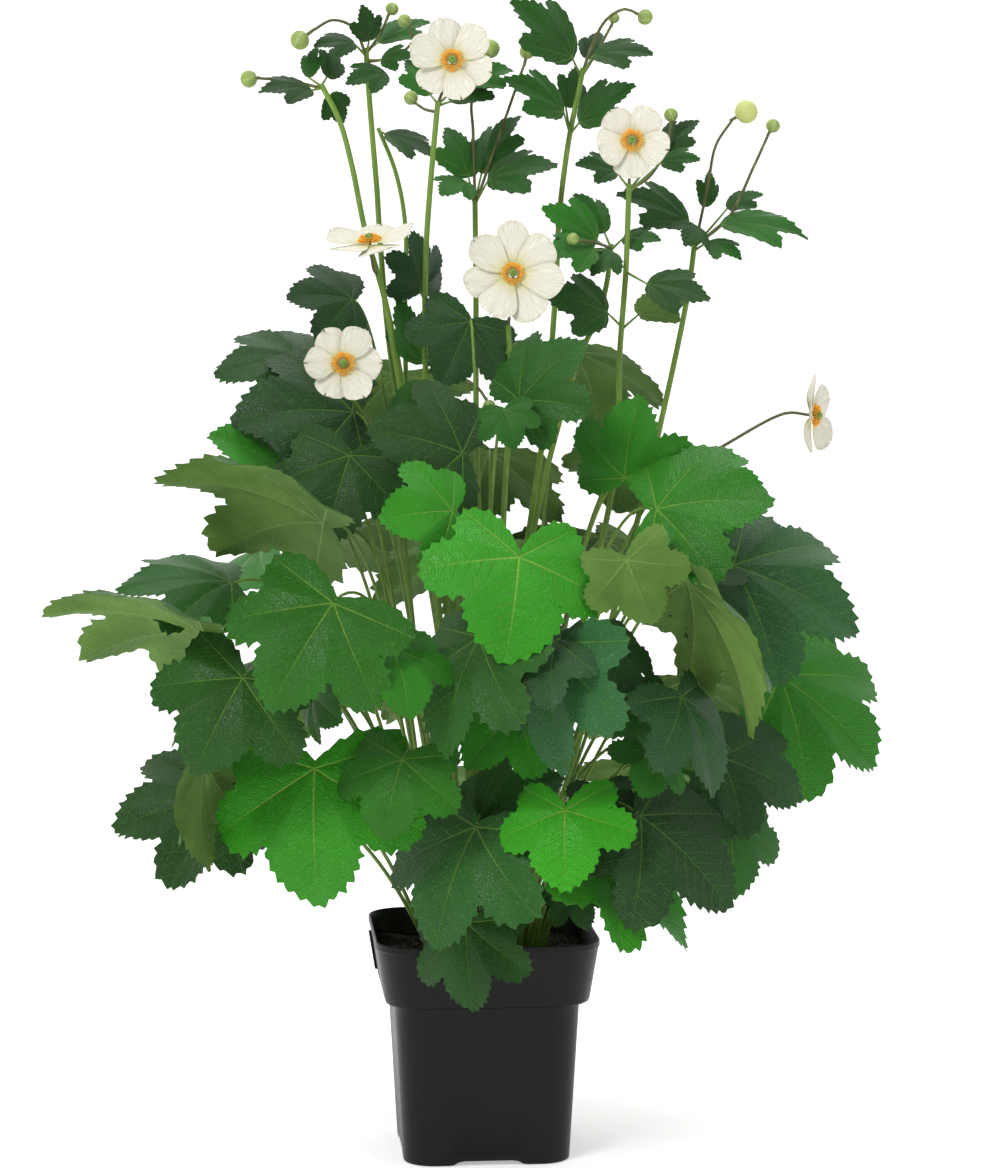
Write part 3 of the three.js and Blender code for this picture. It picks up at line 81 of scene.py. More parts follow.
# Pot sizes
POT_HEIGHT = 184.0
RIM_HALF = 91.0
COLLAR_HALF = 83.5
COLLAR_BOTTOM = 132.0
BODY_HALF_TOP = 75.5
FOOT_HALF = 68.0
WALL = 1.6
CORNER_SHARE = 0.36
FLOOR_UNDERSIDE = 6.0
FLOOR_TOP = 8.0
ARCH_HEIGHT = 3.5
ARCH_HALF = 26.0
DRAIN_RADIUS = 6.0
DRAIN_SPACING = 34.0
POT_TURN = math.radians(5)

# Soil and crown
SOIL_TOP = 165.0
STUB_DEPTH = 10.0
STUB_TOP = 4.0
FOOT_ABOVE_SOIL = 2.5
CROWN_RADIUS = 52.0
CROWN_FULL_AT = 260.0
CROWN_ROUNDS = 200
SHOOT_SPACING = 10.5

# Leaves, stalks and stems
BLADE_THICKNESS = 0.5
SOLID_BLADE = 1.0
STALK_RADIUS = 1.8
BRACT_STALK_RADIUS = 1.2
STEM_RADIUS = 2.8
BRANCH_RADIUS = 1.9
PEDUNCLE_RADIUS = 1.15
BUTTON_RADIUS = 3.4
BUTTON_RISE = 4.8
BLOOM_STALK_BACK = 22
BLOOM_STALK_NEAR = 4

# The mound of leaves: its radius at each height
MOUND = [
    (150, 95), (210, 135), (260, 230), (330, 285), (420, 300),
    (510, 270), (590, 225), (660, 185), (740, 130), (830, 70),
]
MOUND_FLATNESS = 0.76
LAYER = 12.0

# Leaves from the crown that show in front. Each row: tuft, joint of stalk and
# blade (x, y), layers inside the mound, main tip (x, y), lean of the tip to the
# front, roll, fan of the lobes, then how bright it is and how much painted bluish
# sheen it has, 0 to 1. The brightness is partly the leaf's own green and partly
# painted light and shade: front-lit leaves are painted brighter, shaded ones darker.
FRONT_LEAVES = [
    (1, 205, 636, -2, 44, 614, 15, 108, 0.8, 0.45, 0.0),
    (1, 226, 588, -1, 112, 600, 15, 60, 0.9, 0.35, 0.2),
    (1, 291, 481, 3, 207, 437, 15, 50, 1.1, 0.72, 0.0),
    (1, 324, 522, 1, 160, 479, 0, 112, 1.0, 0.45, 0.0),
    (1, 247, 671, 0, 200, 765, 15, 15, 1.3, 0.3, 0.1),
    (1, 313, 694, 3, 343, 721, 30, 30, 1.2, 0.45, 0.0),
    (2, 206, 762, -2, 212, 871, 5, 120, 0.95, 0.4, 0.4),
    (2, 226, 800, 3, 114, 828, 0, 35, 1.0, 0.2, 0.1),
    (3, 314, 771, 0, 318, 908, 10, 15, 1.25, 0.75, 0.0),
    (3, 403, 758, 2, 385, 838, 15, 20, 1.3, 0.5, 0.0),
    (4, 335, 600, -1, 272, 706, 15, 15, 1.1, 0.5, 0.0),
    (4, 394, 647, 1, 411, 716, 25, -20, 1.3, 0.68, 0.0),
    (5, 353, 412, 6, 232, 420, 10, 35, 1.1, 0.1, 0.2),
    (5, 350, 455, 3, 325, 545, 20, 10, 1.2, 0.22, 0.1),
    (6, 307, 360, 5, 215, 378, 10, 50, 1.0, 0.2, 0.2),
    (6, 352, 300, 5, 287, 297, 10, 40, 1.1, 0.08, 0.3),
    (7, 452, 511, 1, 380, 520, 20, 20, 1.35, 0.8, 0.0),
    (7, 462, 453, 4, 368, 430, 10, 25, 1.2, 0.2, 0.1),
    (7, 505, 410, 1, 515, 449, 10, 0, 1.2, 0.45, 0.1),
    (7, 420, 290, 9, 412, 232, 0, 45, 0.9, 0.12, 0.5),
    (8, 519, 557, -1, 505, 662, 25, -8, 1.75, 0.85, 0.0),
    (8, 480, 636, 2, 447, 757, 15, 48, 1.0, 0.35, 0.1),
    (8, 556, 640, 1, 488, 693, 10, 48, 1.1, 0.2, 0.5),
    (8, 557, 645, 0, 566, 778, 10, 52, 0.95, 0.45, 0.9),
    (8, 600, 640, 2, 630, 714, 15, -42, 1.1, 0.2, 0.4),
    (8, 627, 560, -1, 654, 623, 15, 170, 1.3, 0.8, 0.1),
    (8, 520, 716, 3, 466, 776, 10, 25, 1.2, 0.75, 0.0),
    (9, 476, 828, 1, 438, 950, 15, 38, 1.15, 0.35, 0.25),
    (9, 467, 917, 0, 475, 1004, 8, 25, 1.0, 0.3, 0.1),
    (9, 478, 826, 4, 562, 775, 0, -35, 1.0, 0.4, 0.15),
    (9, 565, 810, -1, 566, 890, 20, 10, 1.6, 1.0, 0.0),
    (10, 600, 790, 4, 606, 838, 20, 0, 1.3, 0.2, 0.3),
    (10, 587, 845, 1, 685, 948, 10, -62, 0.85, 0.8, 0.0),
    (10, 570, 885, 3, 588, 930, 10, -10, 0.9, 0.25, 0.2),
    (10, 640, 815, 0, 727, 908, 5, -38, 1.1, 0.15, 0.2),
    (10, 655, 752, 2, 640, 798, 25, -20, 1.4, 0.6, 0.1),
    (11, 680, 695, 1, 711, 794, 10, -58, 1.1, 0.2, 0.6),
    (11, 636, 690, 4, 652, 752, 10, -35, 1.1, 0.45, 0.2),
    (11, 686, 580, -1, 750, 735, 0, -114, 0.8, 0.45, 0.1),
    (11, 695, 583, 4, 746, 618, 10, -30, 1.1, 0.2, 0.3),
    (11, 656, 508, 1, 772, 503, 10, -38, 1.15, 0.6, 0.0),
    (11, 625, 479, 4, 640, 397, 0, -20, 1.2, 0.68, 0.0),
    (12, 727, 818, 3, 732, 899, 5, -30, 1.2, 0.5, 0.15),
    (12, 721, 757, 5, 800, 800, -10, -35, 1.1, 0.2, 0.3),
    (13, 734, 567, 3, 857, 636, -10, -42, 1.0, 0.4, 0.6),
    (13, 690, 480, 5, 768, 497, 0, -45, 1.0, 0.75, 0.1),
    (14, 780, 677, 8, 876, 768, -20, -38, 0.85, 0.65, 0.0),
    (15, 470, 322, 7, 440, 386, 15, 0, 1.2, 0.15, 0.3),
    (15, 520, 400, 3, 586, 343, 0, -40, 1.1, 0.4, 0.1),
]

# Leaves on the far side: height, number, first and last bearing, blade length
REAR_ROWS = [
    (265, 4, 30, 150, 95),
    (350, 5, 20, 164, 118),
    (450, 5, 20, 160, 120),
    (545, 3, 35, 145, 105),
    (620, 2, 55, 120, 90),
]
FIRST_REAR_TUFT = 16
REAR_TUFTS = 9
REAR_FLATNESS = 0.93
REAR_JOINT_SHARE = 0.66
REAR_SEED = 7
REAR_BEARING_SPREAD = 12
REAR_HEIGHT_SPREAD = 30
REAR_ROLL_SPREAD = 40
REAR_TURN_SPREAD = 0.9
REAR_LEAST_LENGTH = 0.9
REAR_LENGTH_SPREAD = 0.2
REAR_FAN_SPREAD = 0.3
REAR_JOINT_LIFT = 0.3
REAR_FALL = (0.75, -0.7)
REAR_OUTWARD_RISE = 0.7

# Flower stems, all as picture points with a depth. path: from the whorl at the
# top down into the leaves. branches: side stems. stalks: thin bare stalks.
# buds: x, y, depth, radius. bracts: where the stalk leaves the stem, joint, tip
# (x, y and depth each), roll, fan. blooms: name, where the stalk leaves the stem,
# centre, the way it faces, radius over the petals, number of petals, turn in degrees.
STEMS = [
    dict(
        name="left", crown=(-27, 14), green=0.3,
        path=[(321, 84, -10), (340, 122, -8), (352, 166, -5), (365, 230, 0),
              (385, 300, 5), (405, 400, 5), (440, 640, 0)],
        branches=[],
        stalks=[[(321, 88, -10), (300, 83, -14), (281, 80, -18), (256, 78, -22)]],
        buds=[(249, 79, -24, 7)],
        bracts=[
            (321, 88, -10, 311, 90, -20, 259, 93, -42, 55, 0.9),
            (321, 86, -10, 309, 77, 0, 317, 47, 10, -30, 0.8),
            (323, 90, -9, 330, 96, 2, 343, 123, 15, -20, 1.3),
            (321, 86, -10, 327, 76, 8, 335, 49, 28, 30, 1),
        ],
        blooms=[],
    ),
    dict(
        name="upright", crown=(-30, 26), green=0.3,
        path=[(366, 48, 20), (368, 80, 20), (372, 132, 20), (377, 191, 20),
              (380, 240, 20), (390, 350, 20), (410, 470, 15), (446, 700, 8)],
        branches=[[(378, 128, 40), (395, 170, 40), (405, 222, 38), (405, 340, 28),
                   (410, 470, 15)]],
        stalks=[
            [(366, 56, 20), (354, 28, 8), (333, 20, 0), (312, 31, -10)],
            [(366, 54, 20), (380, 34, 24), (389, 14, 26)],
            [(367, 62, 20), (396, 56, 6), (413, 40, 2), (407, 25, 0)],
        ],
        buds=[(300, 40, -14, 7.8), (392, 9, 27, 5.4), (404.5, 21, 0, 5.6)],
        bracts=[
            (366, 54, 20, 369, 40, 10, 362, 5, 0, 20, 1.1),
            (366, 56, 20, 354, 44, 6, 314, 46, -6, 55, 1.1),
            (366, 52, 20, 379, 42, 30, 430, 23, 50, -58, 0.8),
            (367, 60, 20, 382, 60, 8, 413, 56, -4, -40, 1),
            (368, 74, 20, 386, 74, 2, 346, 84, -22, 40, 0.9),
            (379, 131, 40, 386, 134, 36, 437, 160, 28, -55, 0.8),
        ],
        blooms=[],
    ),
    dict(
        name="top_bloom", crown=(-18, 4), green=0.45,
        path=[(438, 101, -30), (435, 132, -30), (430, 190, -30), (426, 250, -30),
              (425, 320, -28), (427, 400, -22), (444, 560, -14)],
        branches=[],
        stalks=[
            [(437, 112, -30), (424, 109, -24), (413, 101, -22)],
            [(427, 372, -24), (455, 379, -50), (478, 388, -76), (487, 401, -84)],
        ],
        buds=[(411, 98, -21, 5.8), (489, 406, -86, 5.2)],
        bracts=[
            (438, 106, -30, 452, 101, -15, 496, 82, 10, -50, 0.9),
            (438, 104, -30, 462, 84, 2, 513, 70, 22, -50, 0.9),
            (438, 104, -30, 430, 94, -10, 406, 60, 6, 30, 1),
            (427, 376, -24, 425, 362, -14, 399, 299, -8, -20, 0.85),
            (427, 378, -24, 419, 382, -44, 414, 438, -62, 25, 1.2),
        ],
        blooms=[dict(name="bloom_top", start=(437, 106, -30), centre=(452, 61, -50),
                     facing=(0.05, -0.97, 0.2), radius=35, petals=6, turn=12)],
    ),
    dict(
        name="inner", crown=(-9, 20), green=0.4,
        path=[(475, 200, 10), (476, 300, 10), (476, 390, 8), (478, 560, 5)],
        branches=[],
        stalks=[
            [(475, 206, 10), (489, 165, 16), (502, 128, 22), (525, 62, 26)],
            [(475, 202, 10), (473, 130, 22), (472, 100, 26), (488, 62, 20)],
        ],
        buds=[(527, 52, 27, 6.2), (490, 49, 18, 8)],
        bracts=[
            (475, 204, 10, 489, 180, 0, 557, 166, -12, -50, 1),
            (475, 206, 10, 466, 182, -6, 440, 196, -34, 40, 1.2),
            (475, 202, 10, 468, 176, 14, 446, 128, 30, 30, 1.1),
            (475, 202, 10, 482, 172, 20, 520, 115, 36, -45, 0.8),
        ],
        blooms=[],
    ),
    dict(
        name="tall", crown=(18, 18), green=0.35,
        path=[(583, 68, 25), (578, 95, 25), (570, 133, 25), (560, 208, 22),
              (555, 300, 18), (545, 420, 12), (518, 620, 5)],
        branches=[],
        stalks=[
            [(582, 74, 25), (592, 46, 24), (606, 20, 20), (625, 9, 16), (638, 14, 14)],
            [(582, 76, 25), (598, 50, 34), (612, 24, 36)],
        ],
        buds=[(645, 17, 13, 6.4), (614, 18, 37, 4.6)],
        bracts=[
            (582, 78, 25, 572, 58, 14, 511, 1, 0, 35, 0.85),
            (582, 76, 25, 594, 55, 14, 653, 55, 6, -55, 0.9),
            (582, 78, 25, 588, 58, 40, 601, 33, 58, -20, 1),
            (570, 133, 25, 563, 112, 12, 504, 79, -8, 45, 0.85),
            (570, 135, 25, 566, 106, 30, 575, 68, 44, 30, 0.9),
            (570, 134, 25, 580, 122, 10, 635, 85, -2, -40, 0.9),
        ],
        blooms=[],
    ),
    dict(
        name="middle_bloom", crown=(0, 2), green=0.5,
        path=[(508, 325, -50), (511, 380, -46), (506, 470, -26), (498, 640, -16)],
        branches=[], stalks=[], buds=[], bracts=[],
        blooms=[dict(name="bloom_middle", start=(508, 330, -50), centre=(513, 274, -78),
                     facing=(0, -0.98, 0.2), radius=43, petals=7, turn=0)],
    ),
    dict(
        name="side_bloom", crown=(-36, 2), green=0.6,
        path=[(377, 270, -46), (385, 300, -42), (393, 345, -36), (410, 440, -26),
              (440, 620, -14)],
        branches=[[(350, 396, -94), (372, 425, -70), (410, 440, -26)]],
        stalks=[], buds=[], bracts=[],
        blooms=[
            dict(name="bloom_side", start=(377, 274, -46), centre=(370, 243, -58),
                 facing=(-0.12, -0.3, 0.95), radius=38, petals=5, turn=20),
            dict(name="bloom_low", start=(352, 398, -93), centre=(343, 364, -122),
                 facing=(0.1, -0.98, 0.15), radius=32, petals=6, turn=30),
        ],
    ),
    dict(
        name="right_bloom", crown=(30, 4), green=0.35,
        path=[(629, 184, -30), (628, 216, -30), (626, 269, -26), (620, 350, -20),
              (615, 470, -12), (575, 660, -4)],
        branches=[],
        stalks=[[(629, 190, -30), (650, 176, -10), (668, 145, 0), (671, 124, 2)]],
        buds=[(671, 115, 3, 5.8)],
        bracts=[
            (629, 188, -30, 616, 172, -22, 576, 164, -36, 45, 1),
            (629, 190, -30, 660, 152, 10, 699, 121, 14, -40, 0.9),
            (629, 192, -30, 662, 162, -10, 700, 160, -20, -45, 0.9),
            (621, 330, -22, 640, 314, -30, 690, 300, -48, -130, 1.2),
            (621, 326, -22, 606, 312, -34, 545, 296, -52, 35, 1.3),
            (626, 272, -26, 648, 284, -40, 709, 301, -52, -40, 1),
        ],
        blooms=[dict(name="bloom_right", start=(629, 190, -30), centre=(632, 141, -58),
                     facing=(0.02, -0.98, 0.18), radius=31, petals=5, turn=36)],
    ),
    dict(
        name="right", crown=(39, 16), green=0.4,
        path=[(695, 240, 30), (690, 280, 30), (681, 330, 28), (645, 490, 18),
              (590, 700, 6)],
        branches=[[(715, 450, -18), (690, 470, -6), (645, 490, 18)]],
        stalks=[
            [(695, 246, 30), (708, 185, 26), (716, 145, 22), (733, 119, 18)],
            [(695, 246, 30), (728, 218, 26), (754, 166, 24), (769, 133, 22)],
        ],
        buds=[(746, 112, 14, 9.6), (773, 126, 21, 5.8)],
        bracts=[
            (695, 248, 30, 688, 222, 16, 617, 194, 2, 45, 0.8),
            (695, 246, 30, 722, 224, 18, 808, 238, 20, -60, 0.75),
            (695, 250, 30, 709, 242, 14, 741, 260, -4, -50, 1),
            (695, 244, 30, 704, 206, 36, 709, 170, 40, 40, 0.9),
            (695, 246, 30, 728, 208, 40, 763, 194, 48, -50, 0.9),
            (695, 246, 30, 696, 226, 12, 684, 246, -14, 0, 1.2),
        ],
        blooms=[dict(name="bloom_far_right", start=(714, 451, -18),
                     centre=(812, 415, -34), facing=(0.9, -0.38, -0.05), radius=33,
                     petals=5, turn=10)],
    ),
    dict(
        name="bushy", crown=(9, 8), green=0.5,
        path=[(611, 244, -6), (608, 276, -8), (600, 310, -10), (580, 356, -10),
              (560, 420, -8), (540, 500, -6), (512, 660, -2)],
        branches=[],
        stalks=[[(611, 248, -6), (596, 243, -34), (582, 241, -50)]],
        buds=[(573, 239, -56, 5)],
        bracts=[
            (611, 250, -6, 596, 240, -20, 541, 208, -34, 35, 1),
            (611, 252, -6, 594, 250, -36, 543, 256, -58, 45, 1.1),
            (611, 248, -6, 604, 232, 4, 574, 194, 18, 40, 0.9),
            (611, 250, -6, 624, 238, -14, 661, 241, -24, -50, 1.1),
            (611, 252, -6, 612, 252, -30, 592, 276, -54, 20, 1.1),
        ],
        blooms=[],
    ),
]

# Leaf outlines, half of each from the main tip round to the notch, as parts of
# the midrib's length. Each run of points goes from one corner to the next with
# its number of teeth, and whether the lobe's tip is at its start. shares and bow:
# where the stalk's two guide points lie, as shares of its run, its rise and its
# reach over the ground.
BASAL = dict(
    solid=[(0.72, 0.27), (0.52, 0.27), (0.6, 0.66), (0.24, 0.5), (-0.05, 0.62)],
    notch=(-0.06, 0.0),
    veins=(0.0, 0.85, 1.55),
    shares=(0.2, 0.62),
    bow=((0.5, 0.1), (0.95, 0.22)),
    seed=900,
    vein_scale=1.0,
    runs=[
        ([(1, 0), (0.955, 0.07), (0.89, 0.15), (0.8, 0.225), (0.7, 0.275), (0.6, 0.29),
          (0.52, 0.265)], 7, True),
        ([(0.52, 0.265), (0.6, 0.34), (0.665, 0.44), (0.685, 0.54), (0.66, 0.62),
          (0.6, 0.67)], 5, False),
        ([(0.6, 0.67), (0.52, 0.7), (0.42, 0.69), (0.33, 0.64), (0.265, 0.57),
          (0.24, 0.5)], 5, True),
        ([(0.24, 0.5), (0.2, 0.58), (0.12, 0.645), (0.03, 0.665), (-0.06, 0.65)], 4, False),
        ([(-0.06, 0.65), (-0.135, 0.56), (-0.17, 0.4), (-0.14, 0.2), (-0.06, 0.0)], 5, True),
    ],
    rings=(0.14, 0.32, 0.5, 0.66, 0.8, 0.91, 1.0),
)
BRACT = dict(
    solid=[(0.52, 0.17), (0.57, 0.44), (0.12, 0.28)],
    notch=(-0.03, 0.0),
    veins=(0.0, 0.65),
    shares=(0.35, 0.7),
    bow=((0.35, 0.0), (0.7, 0.0)),
    seed=1400,
    vein_scale=0.85 / 0.65,
    runs=[
        ([(1, 0), (0.9, 0.09), (0.76, 0.18), (0.62, 0.21), (0.52, 0.17)], 5, True),
        ([(0.52, 0.17), (0.62, 0.29), (0.64, 0.38), (0.57, 0.44)], 3, False),
        ([(0.57, 0.44), (0.44, 0.44), (0.27, 0.36), (0.12, 0.28), (0.0, 0.16),
          (-0.03, 0.0)], 5, True),
    ],
    rings=(0.25, 0.5, 0.72, 0.88, 1.0),
)
VEIN_REACH = 0.42
ARCH = 0.34
DROOP = 0.36
FOLD = 0.1
WAVE = 0.08
RUFFLE = 0.02
TOOTH = 0.037
TOOTH_FRONT = 0.25
TOOTH_BACK = 0.6
COARSE_RUFFLES = 9
FINE_RUFFLES = 17
FINE_RUFFLE_SHARE = 0.6
STALK_TIP_SHARE = 0.62
BEND_SHARES = (0.2, 1.0)

# Steps that spread tones, the painted bluish sheen and waves evenly over the leaves
GOLDEN_SHARE = 0.618
TONE_STEP = 0.37
PAINTED_SHEEN_STEP = 0.71
BRACT_TONE_STEP = 0.27

# Fitting a leaf to its solid: how near a corner has to be to count, how close two
# corners have to agree, the farthest bend, and the neck that a stalk ends before
PLACE_REACH = 0.02
PLACE_AGREES = 0.05
MOST_BEND = 90
NECK = 7
LEAST_NECK_SHARE = 0.4
STALK_SIDES = 3


# Small helpers


def unit(v):
    return v / np.linalg.norm(v)


def turned(v, axis, angle):
    """v turned about a unit axis."""
    return (
        v * math.cos(angle)
        + np.cross(axis, v) * math.sin(angle)
        + axis * np.dot(axis, v) * (1 - math.cos(angle))
    )


def spread(count, step):
    """A share from 0 to 1 that changes from leaf to leaf."""
    return (count * step) % 1


def lengths_along(points):
    """How far along a line each of its points is."""
    return np.r_[0, np.cumsum(np.linalg.norm(np.diff(points, axis=0), axis=1))]


def places_on(points, lengths, at):
    """The places on a line at distances from its start."""
    columns = [np.interp(at, lengths, column) for column in points.T]
    return np.stack(columns, axis=-1)


def seeded(seed):
    """The number series that the solids were drawn with."""
    state = seed
    while True:
        state = (state * 1664525 + 1013904223) % 4294967296
        yield state / 4294967296


def mound_radius(z):
    heights, radii = zip(*MOUND)
    return float(np.interp(z, heights, radii))


def mound_depth(px, py, layer):
    flat = seen(px, py, 0)
    radius = mound_radius(flat[2])
    return LAYER * layer - MOUND_FLATNESS * math.sqrt(max(0.0, radius**2 - flat[0] ** 2))


def solid_corners(node):
    """The corners of a CAD node's solid."""
    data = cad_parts[node].data
    spots = np.zeros(3 * len(data.vertices))
    data.vertices.foreach_get("co", spots)
    return spots.reshape(-1, 3) / MM


# Leaves: where each one stands


def make_leaf(node, template, joint, tip, outward, roll, fan, count, tone, blue, foot=None):
    midrib = tip - joint
    length = float(np.linalg.norm(midrib))
    midrib = midrib / length
    facing = unit(outward - midrib * np.dot(outward, midrib))
    normal = turned(facing, midrib, math.radians(roll))
    return dict(
        node=node, template=template, joint=joint, midrib=midrib, normal=normal,
        side=np.cross(normal, midrib), length=length, fan=fan, foot=foot,
        phase=2 * math.pi * spread(count, GOLDEN_SHARE), bend=0.0, count=count,
        tone=tone, blue=blue,
    )


def tuft_name(tuft):
    return "leaf_tuft_%02d" % tuft


def stem_name(stem):
    return "flower_stem_" + stem["name"]


def front_leaves():
    made = []
    for count, row in enumerate(FRONT_LEAVES):
        tuft, jx, jy, layer, tx, ty, lean, roll, fan, tone, blue = row
        depth = mound_depth(jx, jy, layer)
        joint = seen(jx, jy, depth)
        tip = seen(tx, ty, depth - lean)
        outward = unit(EYE - joint)
        made.append(
            make_leaf(
                tuft_name(tuft), BASAL, joint, tip, outward, roll, fan, count, tone, blue
            )
        )
    return made


def rear_leaves():
    random = seeded(REAR_SEED)
    rows = []
    for height, count, first, last, length in REAR_ROWS:
        for i in range(count):
            even = first + (last - first) * i / (count - 1)
            bearing = math.radians(even + REAR_BEARING_SPREAD * (next(random) - 0.5))
            z = height + REAR_HEIGHT_SPREAD * (next(random) - 0.5)
            out = np.array([math.cos(bearing), REAR_FLATNESS * math.sin(bearing), 0.0])
            joint = out * REAR_JOINT_SHARE * mound_radius(z)
            joint[2] = z + REAR_JOINT_LIFT * length
            fall = REAR_FALL[0] * out + REAR_FALL[1] * UP
            fall = unit(turned(fall, UP, REAR_TURN_SPREAD * (next(random) - 0.5)))
            reach = REAR_LEAST_LENGTH + REAR_LENGTH_SPREAD * next(random)
            tip = joint + fall * length * reach
            outward = unit(out + REAR_OUTWARD_RISE * UP)
            roll = REAR_ROLL_SPREAD * (next(random) - 0.5)
            fan = 1 + REAR_FAN_SPREAD * next(random)
            rows.append((bearing, joint, tip, outward, roll, fan))
    rows.sort(key=lambda row: row[0])
    made = []
    for rank, (_, joint, tip, outward, roll, fan) in enumerate(rows):
        tuft = FIRST_REAR_TUFT + (rank * REAR_TUFTS) // len(rows)
        count = len(FRONT_LEAVES) + rank
        tone = 0.25 + 0.5 * spread(count, TONE_STEP)
        # Rear leaves get a varied share of the painted bluish sheen.
        blue = 0.4 * spread(count, PAINTED_SHEEN_STEP)
        made.append(
            make_leaf(
                tuft_name(tuft), BASAL, joint, tip, outward, roll, fan, count, tone, blue
            )
        )
    return made


def bract_leaves():
    made = []
    for stem in STEMS:
        for sx, sy, sd, jx, jy, jd, tx, ty, td, roll, fan in stem["bracts"]:
            joint = seen(jx, jy, jd)
            count = 3 * len(made)
            tone = stem["green"] + 0.3 * (spread(count, BRACT_TONE_STEP) - 0.4)
            # Each bract gets a small share, 0.15, of the painted bluish sheen.
            made.append(
                make_leaf(
                    stem_name(stem), BRACT, joint, seen(tx, ty, td), unit(EYE - joint),
                    roll, fan, count, tone, 0.15, seen(sx, sy, sd),
                )
            )
    return made


def blade_points(leaf, x, y):
    """Places on the blade of points that are parts of the midrib's length."""
    reach = np.hypot(x, y)
    bearing = np.abs(np.arctan2(y, x))
    fanned = math.pi * (1 - (1 - bearing / math.pi) ** leaf["fan"])
    side = np.where(y < 0, -1.0, 1.0)
    along = reach * np.cos(fanned)
    across = side * reach * np.sin(fanned)
    off_vein = np.min([np.abs(bearing - vein) for vein in leaf["template"]["veins"]], axis=0)
    wave = np.sin(3 * side * bearing + leaf["phase"]) * np.sin(bearing / 2) ** 2
    rise = (
        ARCH * along * (1 - along)
        - DROOP * across**2
        + FOLD * reach * np.minimum(1, off_vein / VEIN_REACH)
        + WAVE * reach**2 * wave
    )
    return leaf["joint"] + leaf["length"] * (
        along[:, None] * leaf["midrib"]
        + across[:, None] * leaf["side"]
        + rise[:, None] * leaf["normal"]
    )


def crown_shoots(leaves):
    """Where each tuft and stem leaves the soil."""
    shoots = [[stem_name(stem), *map(float, stem["crown"])] for stem in STEMS]
    for name in dict.fromkeys(leaf["node"] for leaf in leaves):
        own = [leaf["joint"][:2] for leaf in leaves if leaf["node"] == name]
        mean = np.mean(own, axis=0)
        distance = float(np.linalg.norm(mean))
        away = CROWN_RADIUS * (0.5 + 0.5 * min(1.0, distance / CROWN_FULL_AT))
        shoots.append([name, *(mean * away / distance)])
    for _ in range(CROWN_ROUNDS):
        for i, a in enumerate(shoots):
            for b in shoots[i + 1 :]:
                dx, dy = b[1] - a[1], b[2] - a[2]
                distance = math.hypot(dx, dy)
                push = (SHOOT_SPACING - distance) / 2
                if push > 0:
                    a[1] -= push * dx / distance
                    a[2] -= push * dy / distance
                    b[1] += push * dx / distance
                    b[2] += push * dy / distance
    return {name: (x, y) for name, x, y in shoots}


def stalk_points(leaf, steps):
    """Points along a leaf's stalk, from its foot to the joint."""
    template = leaf["template"]
    end = blade_points(leaf, np.array([template["notch"][0] / 2]), np.zeros(1))[0]
    foot = leaf["foot"]
    run = end - foot
    flat = math.hypot(run[0], run[1])
    middle = []
    for share, (up, out), bend in zip(template["shares"], template["bow"], BEND_SHARES):
        aside = share * run[1] + bend * leaf["bend"]
        middle.append(foot + np.array([share * run[0], aside, up * run[2] + out * flat]))
    t = np.linspace(0, 1, steps)[:, None]
    s = 1 - t
    return s**3 * foot + 3 * s * s * t * middle[0] + 3 * s * t * t * middle[1] + t**3 * end


def take_place(leaf, corners):
    """Slides a leaf to the depth that its solid has in the frame."""
    outline = [(1.0, 0.0), *leaf["template"]["solid"]]
    outline += [(x, -y) for x, y in leaf["template"]["solid"]]
    x, y = np.array(outline).T
    spots = blade_points(leaf, x, y)
    found = []
    for half in (-SOLID_BLADE / 2, SOLID_BLADE / 2):
        for spot in spots + half * leaf["normal"]:
            off = np.abs(corners[:, [0, 2]] - spot[[0, 2]]).max(axis=1)
            near = off < PLACE_REACH
            found.extend(corners[near, 1] - spot[1])
    found = np.array(found)
    if len(found) == 0:
        raise ValueError("no solid found for a leaf of " + leaf["node"])
    votes = [(np.abs(found - value) < PLACE_AGREES).sum() for value in found]
    leaf["joint"] = leaf["joint"] + np.array([0, found[int(np.argmax(votes))], 0])


def take_bend(leaf, corners):
    """Bends a leaf's stalk until it runs along the stalk of its solid."""
    tree = kdtree.KDTree(len(corners))
    for i, corner in enumerate(corners):
        tree.insert(corner, i)
    tree.balance()
    basal = leaf["template"] is BASAL
    radius = STALK_RADIUS if basal else BRACT_STALK_RADIUS
    basal_steps = 4 if leaf["joint"][1] < 0 else 3
    steps = basal_steps if basal else 1
    best = (math.inf, 0.0)
    for bend in range(-MOST_BEND, MOST_BEND + 1):
        leaf["bend"] = float(bend)
        points = stalk_points(leaf, 201)
        lengths = lengths_along(points)
        neck = max(LEAST_NECK_SHARE, 1 - NECK / lengths[-1])
        miss = 0.0
        for i in range(1, steps + 1):
            spot = places_on(points, lengths, lengths[-1] * neck * i / steps)
            near = tree.find_n(spot.tolist(), STALK_SIDES)
            miss += sum(abs(distance - radius) for _, _, distance in near)
        best = min(best, (miss, float(bend)))
    leaf["bend"] = best[1]


leaves = front_leaves() + rear_leaves()
shoots = crown_shoots(leaves)
for leaf in leaves:
    x, y = shoots[leaf["node"]]
    leaf["foot"] = np.array([x, y, SOIL_TOP + FOOT_ABOVE_SOIL])
bracts = bract_leaves()
foliage = leaves + bracts
for name in dict.fromkeys(leaf["node"] for leaf in foliage):
    corners = solid_corners(name)
    for leaf in foliage:
        if leaf["node"] == name:
            take_place(leaf, corners)
            take_bend(leaf, corners)


# Curves


